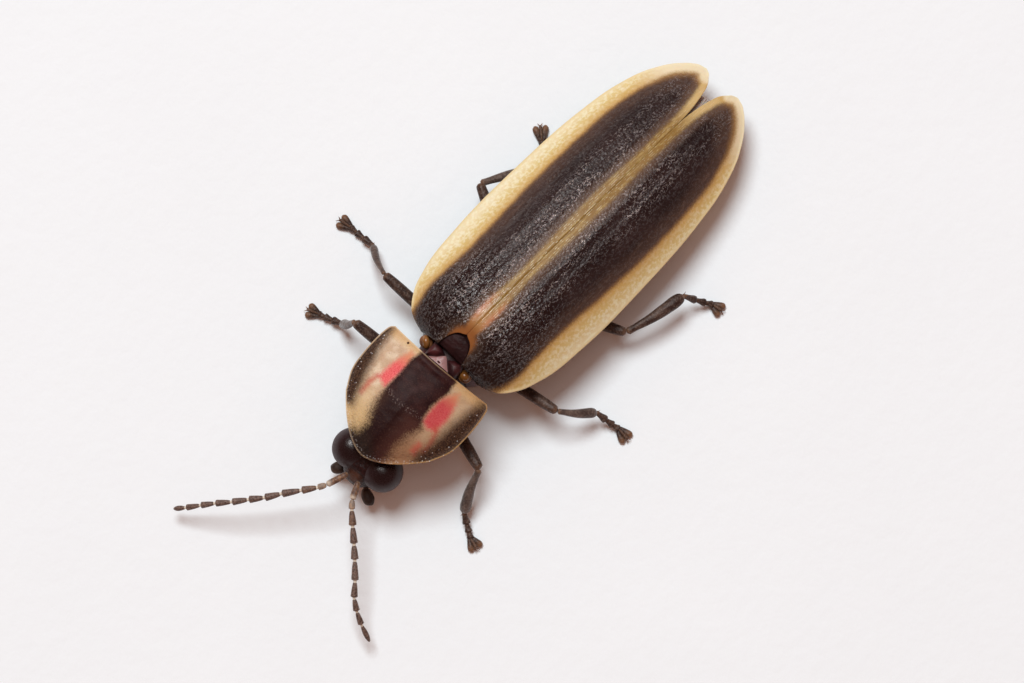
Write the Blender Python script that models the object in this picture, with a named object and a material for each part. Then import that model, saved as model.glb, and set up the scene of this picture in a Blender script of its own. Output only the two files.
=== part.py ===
"""A firefly beetle at life size, standing on its six feet with its head towards -Y and its back up.

Sizes and places are in millimetres, and each mesh is scaled to metres as it is made.
X runs to the animal's left, Y towards its tail and Z up from the floor. The midline of the body is at X 0.
"""

import math

import bmesh
import bpy
from mathutils import Matrix, Vector

MM = 0.001
GAP = 0.14  # clearance between two pieces that touch

# Wing covers. Distances along them run from their front edge, and distances across from the midline.
COVER_FRONT_Y = -1.23
COVER_LENGTH = 10.93
COVER_TIP_X = 0.60
COVER_THICK = 0.45
COVER_OUTLINE = (  # (distance from the front edge, half-width of the closed pair)
    (0.00, 1.05),
    (0.08, 1.33),
    (0.20, 1.60),
    (0.37, 1.78),
    (0.61, 1.95),
    (1.42, 2.25),
    (2.84, 2.42),
    (5.28, 2.43),
    (7.52, 2.29),
    (8.84, 2.07),
    (9.86, 1.70),
    (10.52, 1.25),
    (10.77, 0.98),
    (10.88, 0.80),
    (COVER_LENGTH, COVER_TIP_X + 0.05),
)
COVER_GAPE = (  # (distance from the front edge, how far each cover has parted from the seam)
    (0.00, 0.00),
    (8.74, 0.00),
    (9.35, 0.01),
    (9.75, 0.05),
    (10.01, 0.09),
    (10.26, 0.14),
    (10.46, 0.19),
    (10.62, 0.26),
    (10.77, 0.37),
    (10.87, 0.46),
    (COVER_LENGTH, COVER_TIP_X - 0.07),
)
MARGIN_Z = 1.88  # top of the pale outer margin
SHOULDER_LIFT = 0.22  # how much higher the margin starts at the shoulder
SUTURE_Z = 3.15  # top of the seam between the two covers
BASE_DROP = 0.42  # how far the seam falls away at the front edge
RIDGE = 0.045  # height of the long ridges on each cover
RIDGE_WIDTH = 0.05  # of a ridge, as a share of the half-width
RIDGE_PLACES = (0.23, 0.39, 0.58)  # across, as shares of the half-width
DOME_FLATNESS = 2.5  # a higher number keeps the middle of the closed covers flatter
DOME_FLARE = 1.05  # a higher number flares the margin out flatter
COVER_ROWS = 26
COVER_SHARES = (0.0, 0.12, 0.23, 0.31, 0.39, 0.48, 0.58, 0.72, 0.84, 0.93, 1.0)
HINDBODY_PIVOT = Vector((0.0, 0.0, 2.2))
HINDBODY_YAW = math.radians(1.04)  # the covers, wings and abdomen lean to the right
HINDBODY_PITCH = math.radians(4.5)  # and slope down towards the tail

# Scutellum, the small shield between the bases of the covers.
SCUTELLUM_FRONT_Y = -1.17
SCUTELLUM_TIP_Y = -0.60
SCUTELLUM_HALF_WIDTH = 0.44
SCUTELLUM_TOP_Z = 2.86
SCUTELLUM_THICK = 0.42

# Folded hind wings, under the covers.
WING_START = 1.35
WING_END = 10.10
WING_SHARE = 0.60  # of the covers' half-width
WING_THICK = 0.42
VEIN = 0.035
VEIN_PLACES = (0.35, 0.75)

# Pronotum, the shield over the head, and the parts that turn with it.
FOREBODY_PIVOT = Vector((0.03, -1.66, 0.0))
FOREBODY_YAW = math.radians(4.2)
SHIELD_LENGTH = 3.20
SHIELD_SIDE = (  # (half-width, distance ahead of the base) from the hind corner to the front shoulder
    (1.66, -0.13),
    (1.78, 0.02),
    (1.84, 0.45),
    (1.845, 1.00),
    (1.78, 1.55),
    (1.52, 2.10),
)
SHIELD_FRONT_POWER = 1.7  # roundness of the front edge
SHIELD_THICK = 0.45
SHIELD_EDGE_Z = 2.25
SHIELD_FRONT_LIFT = 0.33
SHIELD_RISE = 0.78  # height of the middle above the edge
SHIELD_RIM = 0.05
SHIELD_KEEL = 0.05

# Head, with Y measured from the pronotum's base and X from the head's own midline.
NECK_PIVOT = Vector((0.08, -2.15, 0.0))
HEAD_YAW = math.radians(2.3)
EYE_PLACE = Vector((0.53, -3.10, 1.52))
EYE_RADII = Vector((0.55, 0.56, 0.56))
EYE_INNER_X = 0.32  # the eye's flat inner face
ANTENNA_ROOT = Vector((0.20, -3.72, 1.60))
ANTENNA_SINK = Vector((0.0, 0.17, 0.02))  # from the root to the end inside the head
PALP_LEFT = (
    (0.28, -3.36, 0.80),
    (0.31, -3.56, 0.70),
    (0.46, -3.74, 0.62),
    (0.64, -3.84, 0.57),
    (0.80, -3.88, 0.54),
)
PALP_RIGHT = (
    (-0.28, -3.36, 0.80),
    (-0.38, -3.52, 0.70),
    (-0.52, -3.64, 0.62),
    (-0.66, -3.70, 0.57),
    (-0.78, -3.73, 0.54),
)
PALP_RADII = (0.14, 0.17, 0.20, 0.20, 0.12)
JAW = ((0.25, -3.50, 1.05), (0.28, -3.64, 1.02), (0.26, -3.74, 0.98), (0.17, -3.82, 0.95))
JAW_RADII = (0.13, 0.14, 0.11, 0.05)

# Trunk under the shields.
TRUNK_SIDES = 20
PROTHORAX_BACK_Y = -1.62
MESOTHORAX_BACK_Y = -0.30
METATHORAX_BACK_Y = 2.50
ABDOMEN_FRONT_Y = 2.60
ABDOMEN_END_Y = 8.35
ABDOMEN_SEGMENTS = 7

# Legs: (name, side, hip, knee, ankle, toe). Side is 1 on the left and -1 on the right.
LEGS = (
    ("front", 1, (0.80, -2.20, 0.74), (2.69, -2.72, 1.25), (3.18, -3.81, 0.38), (4.12, -4.25, 0.16)),
    ("front", -1, (-0.74, -2.04, 0.74), (-2.60, -2.29, 1.45), (-2.93, -2.46, 0.40), (-3.96, -2.85, 0.16)),
    ("middle", 1, (0.88, -0.50, 0.68), (3.07, -0.08, 1.22), (3.81, 0.73, 0.62), (4.92, 0.86, 0.16)),
    ("middle", -1, (-0.88, -0.62, 0.68), (-2.99, -0.75, 1.22), (-3.90, -0.31, 0.34), (-5.12, -0.44, 0.16)),
    ("hind", 1, (0.95, 1.92, 0.66), (2.84, 2.85, 0.95), (3.23, 4.71, 0.85), (4.24, 5.26, 0.16)),
    ("hind", -1, (-0.95, 1.98, 0.66), (-2.97, 2.95, 0.95), (-2.08, 4.46, 0.50), (-3.05, 5.40, 0.16)),
)
COXA_REACH = 0.52  # from the hip into the trunk
COXA_SLANT = (0.82, 0.42)  # how far each coxa runs inwards and upwards
COXA_RADII = (0.36, 0.35, 0.27)
FEMUR_RADII = (0.24, 0.29, 0.30, 0.27, 0.23)
TIBIA_RADII = (0.23, 0.24, 0.26, 0.26, 0.22)
LEG_FLATNESS = 0.90  # depth of a leg against its width
TARSUS_JOINTS = 5
TARSUS_RADIUS = 0.21
LOBE_RADII = (0.17, 0.24, 0.15)
LOBE_SPREAD = 0.142  # from the foot's middle to the middle of a lobe
LOBE_TURN = 0.45  # how far a lobe points outwards for one step ahead
CLAW_TURN = 0.55  # and a claw
CLAW_LENGTH = 0.26
CLAW_RADIUS = 0.10
CLAW_BASE_Z = 0.14

# Antennae: joints past the head, from the second joint's end to the tip, in the body's frame.
ANTENNA_RIGHT = (
    (0.07, -6.04, 1.60),
    (-0.05, -6.25, 1.56),
    (-0.32, -6.62, 1.48),
    (-0.65, -7.07, 1.40),
    (-0.91, -7.47, 1.33),
    (-1.19, -7.81, 1.26),
    (-1.48, -8.18, 1.17),
    (-1.79, -8.52, 1.05),
    (-2.05, -8.83, 0.90),
    (-2.31, -9.15, 0.72),
    (-2.56, -9.41, 0.52),
)
ANTENNA_LEFT = (
    (0.87, -5.83, 1.60),
    (1.04, -6.02, 1.56),
    (1.38, -6.32, 1.48),
    (1.75, -6.64, 1.40),
    (2.07, -6.93, 1.33),
    (2.48, -7.33, 1.25),
    (2.78, -7.67, 1.15),
    (3.08, -7.87, 1.02),
    (3.42, -8.03, 0.86),
    (3.90, -8.19, 0.62),
)
ARTICLE_RADIUS = 0.22
ARTICLE_NECK = 0.15
ANTENNA_SIDES = 8

# Hinge knobs beside the scutellum.
KNOB_PLACE = Vector((0.76, -1.30, 2.12))
KNOB_RADII = (0.25, 0.20, 0.27)


def material(name, colour, roughness):
    """A plain finish for one slot."""
    made = bpy.data.materials.new(name)
    made.use_nodes = True
    shader = made.node_tree.nodes["Principled BSDF"]
    shader.inputs["Base Color"].default_value = (*colour, 1.0)
    shader.inputs["Roughness"].default_value = roughness
    shader.inputs["Metallic"].default_value = 0.0
    return made


def clear_scene():
    for obj in list(bpy.data.objects):
        bpy.data.objects.remove(obj)


def empty(name, place, yaw=0.0, parent=None, pitch=0.0):
    """A holder that turns what is parented to it."""
    holder = bpy.data.objects.new(name, None)
    bpy.context.scene.collection.objects.link(holder)
    holder.location = Vector(place) * MM
    holder.rotation_euler = (-pitch, 0.0, yaw)
    holder.parent = parent
    return holder


def solid(name, points, faces, finish, parent, origin=(0.0, 0.0, 0.0)):
    """A closed mesh from points in its parent's frame, with its own origin at origin."""
    origin = Vector(origin)
    mesh = bpy.data.meshes.new(name)
    mesh.from_pydata([(Vector(p) - origin) * MM for p in points], [], faces)
    bm = bmesh.new()
    bm.from_mesh(mesh)
    bmesh.ops.recalc_face_normals(bm, faces=bm.faces)
    bm.to_mesh(mesh)
    bm.free()
    mesh.shade_smooth()
    mesh.materials.append(finish)
    obj = bpy.data.objects.new(name, mesh)
    bpy.context.scene.collection.objects.link(obj)
    obj.location = origin * MM
    obj.parent = parent
    bpy.context.view_layer.update()
    return obj


def largest_body(mesh):
    """Keeps only the closed surface with the most volume."""
    bm = bmesh.new()
    bm.from_mesh(mesh)
    left, bodies = set(bm.faces), []
    while left:
        body, edge = set(), [left.pop()]
        while edge:
            face = edge.pop()
            body.add(face)
            shared = [e for e in face.edges if len(e.link_faces) == 2]
            for near in {f for e in shared for f in e.link_faces} & left:
                left.discard(near)
                edge.append(near)
        bodies.append(body)

    def volume(body):
        total = 0.0
        for face in body:
            first = face.verts[0].co
            for a, b in zip(face.verts[1:], face.verts[2:]):
                total += first.dot(a.co.cross(b.co))
        return abs(total)

    kept = max(bodies, key=volume)
    bmesh.ops.delete(bm, geom=[f for f in bm.faces if f not in kept], context="FACES")
    bm.to_mesh(mesh)
    bm.free()


def settle_modifiers(obj):
    """Writes the modifiers' result into the mesh."""
    bpy.context.view_layer.update()
    graph = bpy.context.evaluated_depsgraph_get()
    made = bpy.data.meshes.new_from_object(obj.evaluated_get(graph))
    obj.modifiers.clear()
    obj.data = made
    largest_body(made)
    made.shade_smooth()


def join(obj, pieces):
    """One Boolean union of obj with the closed pieces, which are then removed."""
    group = bpy.data.collections.new(obj.name + "_pieces")
    for piece in pieces:
        group.objects.link(piece)
    union = obj.modifiers.new("join", "BOOLEAN")
    union.operation = "UNION"
    union.operand_type = "COLLECTION"
    union.collection = group
    union.solver = "EXACT"
    settle_modifiers(obj)
    for piece in pieces:
        bpy.data.objects.remove(piece)
    bpy.data.collections.remove(group)


def seat(obj, pieces, clearance=GAP):
    """Cuts a socket in obj for each piece, a little larger than the piece all round."""
    for piece in pieces:
        cutter = piece.copy()
        cutter.data = piece.data.copy()
        bpy.context.scene.collection.objects.link(cutter)
        normals = [v.normal.copy() for v in cutter.data.vertices]
        for vertex, normal in zip(cutter.data.vertices, normals):
            vertex.co += normal * clearance * MM
        cut = obj.modifiers.new("seat", "BOOLEAN")
        cut.operation = "DIFFERENCE"
        cut.object = cutter
        cut.solver = "EXACT"
        cut.use_self = True
        settle_modifiers(obj)
        bpy.data.objects.remove(cutter)


def smooth_value(stations, at):
    """The value at a distance, on a smooth curve through (distance, value) stations."""
    last = len(stations) - 1
    at = min(max(at, stations[0][0]), stations[last][0])
    i = next(k for k in range(last) if at <= stations[k + 1][0])
    (x0, y0), (x1, y1) = stations[i], stations[i + 1]

    def slope(k):
        below, above = stations[max(k - 1, 0)], stations[min(k + 1, last)]
        return (above[1] - below[1]) / (above[0] - below[0])

    span = x1 - x0
    t = (at - x0) / span
    return (
        y0 * (1 + 2 * t) * (1 - t) ** 2
        + y1 * t * t * (3 - 2 * t)
        + span * (slope(i) * t * (1 - t) ** 2 - slope(i + 1) * t * t * (1 - t))
    )


def ring(centre, across, up, half_width, half_height, sides, power=2.0):
    """A closed loop round centre, an ellipse at power 2 and squarer above it."""
    loop = []
    for i in range(sides):
        turn = 2 * math.pi * i / sides
        c, s = math.cos(turn), math.sin(turn)
        x = math.copysign(abs(c) ** (2 / power), c) * half_width
        z = math.copysign(abs(s) ** (2 / power), s) * half_height
        loop.append(Vector(centre) + Vector(across) * x + Vector(up) * z)
    return loop


def lofted(loops):
    """Points and faces of a closed body through loops of equally many points."""
    sides = len(loops[0])
    points = [p for loop in loops for p in loop]
    faces = [list(range(sides))]
    faces.append([len(points) - 1 - i for i in range(sides)])
    for k in range(len(loops) - 1):
        for i in range(sides):
            j = (i + 1) % sides
            faces.append((k * sides + i, (k + 1) * sides + i, (k + 1) * sides + j, k * sides + j))
    return points, faces


def slab(top, bottom):
    """Points and faces of a plate between two grids of points of the same shape, split alike on both."""
    rows, columns = len(top), len(top[0])
    points = [p for grid in (top, bottom) for row in grid for p in row]
    below = rows * columns
    faces = []
    for i in range(rows - 1):
        for j in range(columns - 1):
            a, b = i * columns + j, i * columns + j + 1
            c, d = b + columns, a + columns
            faces += [(a, b, c), (a, c, d)]
            faces += [(below + a, below + c, below + b), (below + a, below + d, below + c)]
    border = [(0, j) for j in range(columns)]
    border += [(i, columns - 1) for i in range(1, rows)]
    border += [(rows - 1, j) for j in range(columns - 2, -1, -1)]
    border += [(i, 0) for i in range(rows - 2, 0, -1)]
    for (i, j), (k, m) in zip(border, border[1:] + border[:1]):
        a, b = i * columns + j, k * columns + m
        faces.append((a, below + a, below + b, b))
    return points, faces


def cover_half_width(along):
    return smooth_value(COVER_OUTLINE, along)


def cover_inner_edge(along):
    """The inner edge of a cover: round the scutellum, along the seam, then away from it at the tip."""
    y = COVER_FRONT_Y + along
    edge = GAP / 2
    if y < SCUTELLUM_TIP_Y + GAP:
        edge = max(edge, scutellum_half_width(y - GAP) + GAP)
    return edge + smooth_value(COVER_GAPE, along)


def scutellum_half_width(y):
    """Half-width of the scutellum, a tongue that narrows to a round tip."""
    part = (y - SCUTELLUM_FRONT_Y) / (SCUTELLUM_TIP_Y - SCUTELLUM_FRONT_Y)
    part = min(max(part, 0.0), 1.0)
    return SCUTELLUM_HALF_WIDTH * (1 - 0.30 * part) * math.sqrt(max(0.0, 1 - part**4))


def margin_height(along):
    shoulder = math.exp(-((along / 1.3) ** 2))
    tail = max(0.0, along - 7.0) / (COVER_LENGTH - 7.0)
    return MARGIN_Z + SHOULDER_LIFT * shoulder + 0.10 * tail**2


def seam_rise(along):
    """Height of the seam above the margin."""
    rise = SUTURE_Z - margin_height(along)
    rise -= BASE_DROP * math.exp(-((along / 0.75) ** 2))
    tail = max(0.0, along - 3.5) / (COVER_LENGTH - 3.5)
    return rise * max(0.0, 1 - tail**2.6) ** 0.75


def cover_top(x, along):
    """Height of the covers' outer surface, a broad dome that flares out a little at the margin."""
    share = min(1.0, abs(x) / cover_half_width(along))
    dome = max(0.0, 1 - share**DOME_FLATNESS) ** DOME_FLARE
    body = math.sin(math.pi * min(1.0, along / COVER_LENGTH)) ** 0.5
    ridges = sum(math.exp(-(((share - place) / RIDGE_WIDTH) ** 2)) for place in RIDGE_PLACES)
    return margin_height(along) + seam_rise(along) * dome + RIDGE * ridges * body


def elytron(name, side, finish, root):
    """A wing cover: a domed plate with three long ridges and a flared margin."""
    top, bottom = [], []
    for i in range(COVER_ROWS):
        along = COVER_LENGTH * (0.5 - 0.5 * math.cos(math.pi * i / (COVER_ROWS - 1)))
        inner, outer = cover_inner_edge(along), cover_half_width(along)
        line = []
        for share in COVER_SHARES:
            x = max(inner, outer * share)
            x = inner + (outer - inner) * share if inner > 0.3 else x
            line.append(Vector((side * x, COVER_FRONT_Y + along, cover_top(x, along))))
        top.append(line)
        bottom.append([p - Vector((0, 0, COVER_THICK)) for p in line])
    points, faces = slab(top, bottom)
    hinge = (side * 0.75, COVER_FRONT_Y, 2.3)
    return solid(name, points, faces, finish, root, hinge)


def hind_wing(name, side, finish, root):
    """A folded hind wing: a thin blade under the cover, with its main veins as ridges."""
    rows, shares = 16, (0.0, 0.18, 0.35, 0.55, 0.75, 0.88, 1.0)
    top, bottom = [], []
    for i in range(rows):
        part = 0.5 - 0.5 * math.cos(math.pi * i / (rows - 1))
        along = WING_START + (WING_END - WING_START) * part
        end = max(0.0, (part - 0.7) / 0.3)
        outer = WING_SHARE * cover_half_width(along) * (1 - 0.9 * end**3)
        line, under = [], []
        for share in shares:
            x = GAP / 2 + (outer - GAP / 2) * share
            smooth = cover_top(x, along) - COVER_THICK - GAP - VEIN - RIDGE
            vein = VEIN if share in VEIN_PLACES else 0.0
            line.append(Vector((side * x, COVER_FRONT_Y + along, smooth + vein)))
            under.append(Vector((side * x, COVER_FRONT_Y + along, smooth - WING_THICK)))
        top.append(line)
        bottom.append(under)
    points, faces = slab(top, bottom)
    hinge = (side * 0.6, COVER_FRONT_Y + WING_START, 2.2)
    return solid(name, points, faces, finish, root, hinge)


def scutellum(finish, root):
    """The small shield that lies between the covers' bases."""
    rows, shares = 8, (-1.0, -0.7, -0.35, 0.0, 0.35, 0.7, 1.0)
    top, bottom = [], []
    for i in range(rows):
        part = (i / (rows - 1)) ** 0.8
        y = SCUTELLUM_FRONT_Y + (SCUTELLUM_TIP_Y - SCUTELLUM_FRONT_Y) * part
        half = max(0.10, scutellum_half_width(y))
        line = []
        for share in shares:
            z = SCUTELLUM_TOP_Z - 0.10 * share**2 - 0.16 * (1 - part) ** 2
            line.append(Vector((half * share, y, z)))
        top.append(line)
        bottom.append([p - Vector((0, 0, SCUTELLUM_THICK)) for p in line])
    points, faces = slab(top, bottom)
    return solid("scutellum", points, faces, finish, root, (0, SCUTELLUM_FRONT_Y, SCUTELLUM_TOP_Z))


def shield_point(u, v):
    """A point of the pronotum's top: u runs across from -1 to 1, v from the base to the front edge."""
    sides = len(SHIELD_SIDE) - 1
    half = smooth_value([(k / sides, s[0]) for k, s in enumerate(SHIELD_SIDE)], v)
    side_y = smooth_value([(k / sides, s[1]) for k, s in enumerate(SHIELD_SIDE)], v)
    ahead = side_y + (SHIELD_LENGTH * v - side_y) * (1 - abs(u) ** SHIELD_FRONT_POWER)
    if v < 0.3:
        fullness = 1 - 0.18 * (1 - v / 0.3) ** 2
    else:
        fullness = max(0.0, 1 - ((v - 0.3) / 0.7) ** 2) ** 0.8
    z = SHIELD_EDGE_Z + SHIELD_FRONT_LIFT * v**2 * (1 - 0.6 * u**2)
    z += SHIELD_RISE * fullness * max(0.0, 1 - abs(u) ** 2.2) ** 1.3
    if abs(u) == 1.0 or v == 1.0:
        z += SHIELD_RIM
    if u == 0.0:
        z += SHIELD_KEEL * math.sin(math.pi * v) ** 0.5
    return Vector((u * half, -ahead, z))


def pronotum(finish, forebody):
    """The shield over the head: a domed plate with flared, rimmed edges and a keel."""
    across = (0.0, 0.12, 0.3, 0.48, 0.64, 0.78, 0.90, 1.0)
    across = [-u for u in reversed(across[1:])] + list(across)
    along = (0.0, 0.05, 0.15, 0.28, 0.42, 0.56, 0.70, 0.82, 0.92, 1.0)
    top = [[shield_point(u, v) for u in across] for v in along]
    bottom = [[p - Vector((0, 0, SHIELD_THICK)) for p in row] for row in top]
    points, faces = slab(top, bottom)
    return solid("pronotum", points, faces, finish, forebody, (0, 0, SHIELD_EDGE_Z))


def trunk(name, stations, finish, parent, ceiling=None, power=2.3):
    """A body piece through upright rings: each station is (y, half-width, underside, top)."""
    loops = []
    for y, half, low, high in stations:
        centre = Vector((0, y, (low + high) / 2))
        loop = ring(centre, (1, 0, 0), (0, 0, 1), half, (high - low) / 2, TRUNK_SIDES, power)
        if ceiling:
            for p in loop:
                p.z = min(p.z, ceiling(p.x, p.y))
        loops.append(loop)
    points, faces = lofted(loops)
    middle = Vector((0, stations[0][0], (stations[0][2] + stations[0][3]) / 2))
    return solid(name, points, faces, finish, parent, middle)


def prothorax(finish, forebody):
    """The front of the trunk, under the pronotum and narrowing to the neck."""
    back = PROTHORAX_BACK_Y - FOREBODY_PIVOT.y
    stations = (
        (back, 0.92, 0.88, 2.62),
        (-0.35, 1.02, 0.74, 2.66),
        (-0.95, 1.02, 0.78, 2.66),
        (-1.50, 0.90, 0.98, 2.62),
        (-1.95, 0.74, 1.10, 2.45),
        (-2.30, 0.62, 1.14, 2.10),
    )
    return trunk("prothorax", stations, finish, forebody)


def under_cover(x, y):
    """Ceiling for the trunk between the cover bases."""
    along = max(0.0, y - COVER_FRONT_Y)
    if y - COVER_FRONT_Y < -GAP:
        return SUTURE_Z
    return cover_top(x, along) - COVER_THICK - GAP


def under_wing(x, y):
    """Ceiling for the trunk below the folded wings."""
    along = min(max(WING_START, y - COVER_FRONT_Y), COVER_LENGTH)
    low = cover_top(x, along) - COVER_THICK - WING_THICK - 2 * GAP - VEIN - RIDGE
    return low - GAP / 4


def mesothorax(finish, root):
    """The trunk between the pronotum and the covers' bases, with a rounded knob at each front corner."""
    front = PROTHORAX_BACK_Y + GAP + 0.05
    low_top = SCUTELLUM_TOP_Z - SCUTELLUM_THICK - 0.20
    stations = (
        (front, 0.88, 0.80, low_top),
        (-1.15, 1.05, 0.70, low_top),
        (-0.75, 1.18, 0.62, 2.28),
        (MESOTHORAX_BACK_Y, 1.24, 0.58, 2.20),
    )
    return trunk("mesothorax", stations, finish, root, under_cover)


def under_sloping_wing(x, y):
    """The same ceiling for a trunk piece that is level, while the wings above it slope down."""
    return under_wing(x, y) - max(0.0, y) * math.tan(HINDBODY_PITCH)


def metathorax(finish, root):
    """The largest piece of the trunk, under the wings."""
    stations = (
        (MESOTHORAX_BACK_Y + GAP, 1.28, 0.56, 2.05),
        (0.45, 1.42, 0.54, 2.10),
        (1.30, 1.50, 0.54, 2.10),
        (2.00, 1.54, 0.58, 2.06),
        (METATHORAX_BACK_Y, 1.50, 0.66, 2.00),
    )
    return trunk("metathorax", stations, finish, root, under_sloping_wing)


def abdomen_station(y, flare):
    """Half-width, underside and top of the abdomen. Flare widens the hind edge of a segment."""
    part = (y - ABDOMEN_FRONT_Y) / (ABDOMEN_END_Y - ABDOMEN_FRONT_Y)
    half = 1.72 * (1 - 0.12 * (1 - part) ** 3) * max(0.0, 1 - part**3.6) ** 0.6
    low = 0.72 + 0.30 * part**2
    high = 1.92 - 0.42 * part**2
    return (y, max(0.36, half + flare), low - flare, high + flare)


def abdomen(plain, lantern, root):
    """Seven segments, each a little wider at its hind edge. The last but one and two hold the lantern."""
    span = ABDOMEN_END_Y - ABDOMEN_FRONT_Y
    ends = [ABDOMEN_FRONT_Y + span * (k / ABDOMEN_SEGMENTS) ** 0.95 for k in range(ABDOMEN_SEGMENTS + 1)]
    for k in range(ABDOMEN_SEGMENTS):
        front, back = ends[k] + GAP, ends[k + 1]
        depth = back - front
        stations = [
            abdomen_station(front, -0.03),
            abdomen_station(front + 0.5 * depth, 0.0),
            abdomen_station(front + 0.88 * depth, 0.03),
            abdomen_station(back, 0.0),
        ]
        finish = lantern if k in (4, 5) else plain
        trunk(f"abdomen_{k + 1}", stations, finish, root, under_wing, 2.1)


def ellipsoid(centre, radii, columns=16, rows=9):
    """Points and faces of a closed ellipsoid with its poles up and down."""
    centre = Vector(centre)
    points = [centre + Vector((0, 0, radii[2]))]
    for i in range(1, rows):
        tilt = math.pi * i / rows
        for j in range(columns):
            turn = 2 * math.pi * j / columns
            points.append(
                centre
                + Vector(
                    (
                        radii[0] * math.sin(tilt) * math.cos(turn),
                        radii[1] * math.sin(tilt) * math.sin(turn),
                        radii[2] * math.cos(tilt),
                    )
                )
            )
    points.append(centre - Vector((0, 0, radii[2])))
    last = len(points) - 1
    faces = []
    for j in range(columns):
        k = (j + 1) % columns
        faces.append((0, 1 + j, 1 + k))
        faces.append((last, last - columns + k, last - columns + j))
        for i in range(rows - 2):
            a, b = 1 + i * columns + j, 1 + i * columns + k
            faces.append((a, a + columns, b + columns, b))
    return points, faces


def cut_flat(obj, place, normal):
    """Removes what lies beyond a plane, in the object's parent frame, and closes the cut."""
    bm = bmesh.new()
    bm.from_mesh(obj.data)
    geometry = bm.verts[:] + bm.edges[:] + bm.faces[:]
    here = Vector(place) * MM - obj.location
    bmesh.ops.bisect_plane(bm, geom=geometry, plane_co=here, plane_no=normal, clear_outer=True, dist=1e-8)
    open_edges = [e for e in bm.edges if e.is_boundary]
    bmesh.ops.holes_fill(bm, edges=open_edges, sides=0)
    bmesh.ops.recalc_face_normals(bm, faces=bm.faces)
    bm.to_mesh(obj.data)
    bm.free()


def from_neck(place):
    """A point of the head, in the frame of the holder that turns the head."""
    return Vector(place) - Vector((0, NECK_PIVOT.y, 0))


def eye(name, side, finish, head_turn):
    """A bulging compound eye with a flat inner face."""
    place = from_neck((side * EYE_PLACE.x, EYE_PLACE.y, EYE_PLACE.z))
    points, faces = ellipsoid(place, EYE_RADII, 18, 11)
    made = solid(name, points, faces, finish, head_turn, place)
    cut_flat(made, (side * EYE_INNER_X, 0, 0), (-side, 0, 0))
    return made


def head(finish, head_turn):
    """The head capsule, from the neck to the face, with the snout above the jaws."""
    stations = (
        (-2.24, 0.42, 1.14, 1.90),
        (-2.55, 0.55, 0.98, 1.96),
        (-2.94, 0.78, 0.88, 2.00),
        (-3.27, 0.74, 0.84, 1.96),
        (-3.54, 0.55, 0.82, 1.84),
        (-3.72, 0.38, 0.84, 1.62),
        (-3.82, 0.26, 0.90, 1.34),
    )
    shifted = [(y - NECK_PIVOT.y, half, low, high) for y, half, low, high in stations]
    return trunk("head", shifted, finish, head_turn, power=2.2)


def limb_loops(start, end, radii, start_normal, end_normal, sides=10, flatness=LEG_FLATNESS):
    """Rings along one length of a limb, whose end rings lie in the two given planes."""
    start, end = Vector(start), Vector(end)
    along = (end - start).normalized()
    across = along.cross(Vector((0, 0, 1)))
    if across.length < 0.2:
        across = along.cross(Vector((0, 1, 0)))
    across.normalize()
    up = across.cross(along).normalized()
    loops = []
    for k, radius in enumerate(radii):
        part = k / (len(radii) - 1)
        centre = start.lerp(end, part)
        loop = []
        for p in ring(centre, across, up, radius, radius * flatness, sides):
            flat = p - centre
            to_start = -flat.dot(start_normal) / along.dot(start_normal)
            to_end = -flat.dot(end_normal) / along.dot(end_normal)
            slide = to_start * (1 - part) ** 2 + to_end * part**2
            loop.append(p + along * slide)
        loops.append(loop)
    return loops


def limb(name, start, end, radii, start_normal, end_normal, finish, root):
    """One length of a leg, short of its joints by half the clearance at each end."""
    start, end = Vector(start), Vector(end)
    along = (end - start).normalized()
    near = start + along * (GAP / 2 / abs(along.dot(start_normal)))
    far = end - along * (GAP / 2 / abs(along.dot(end_normal)))
    points, faces = lofted(limb_loops(near, far, radii, start_normal, end_normal))
    return solid(name, points, faces, finish, root, start)


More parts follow.
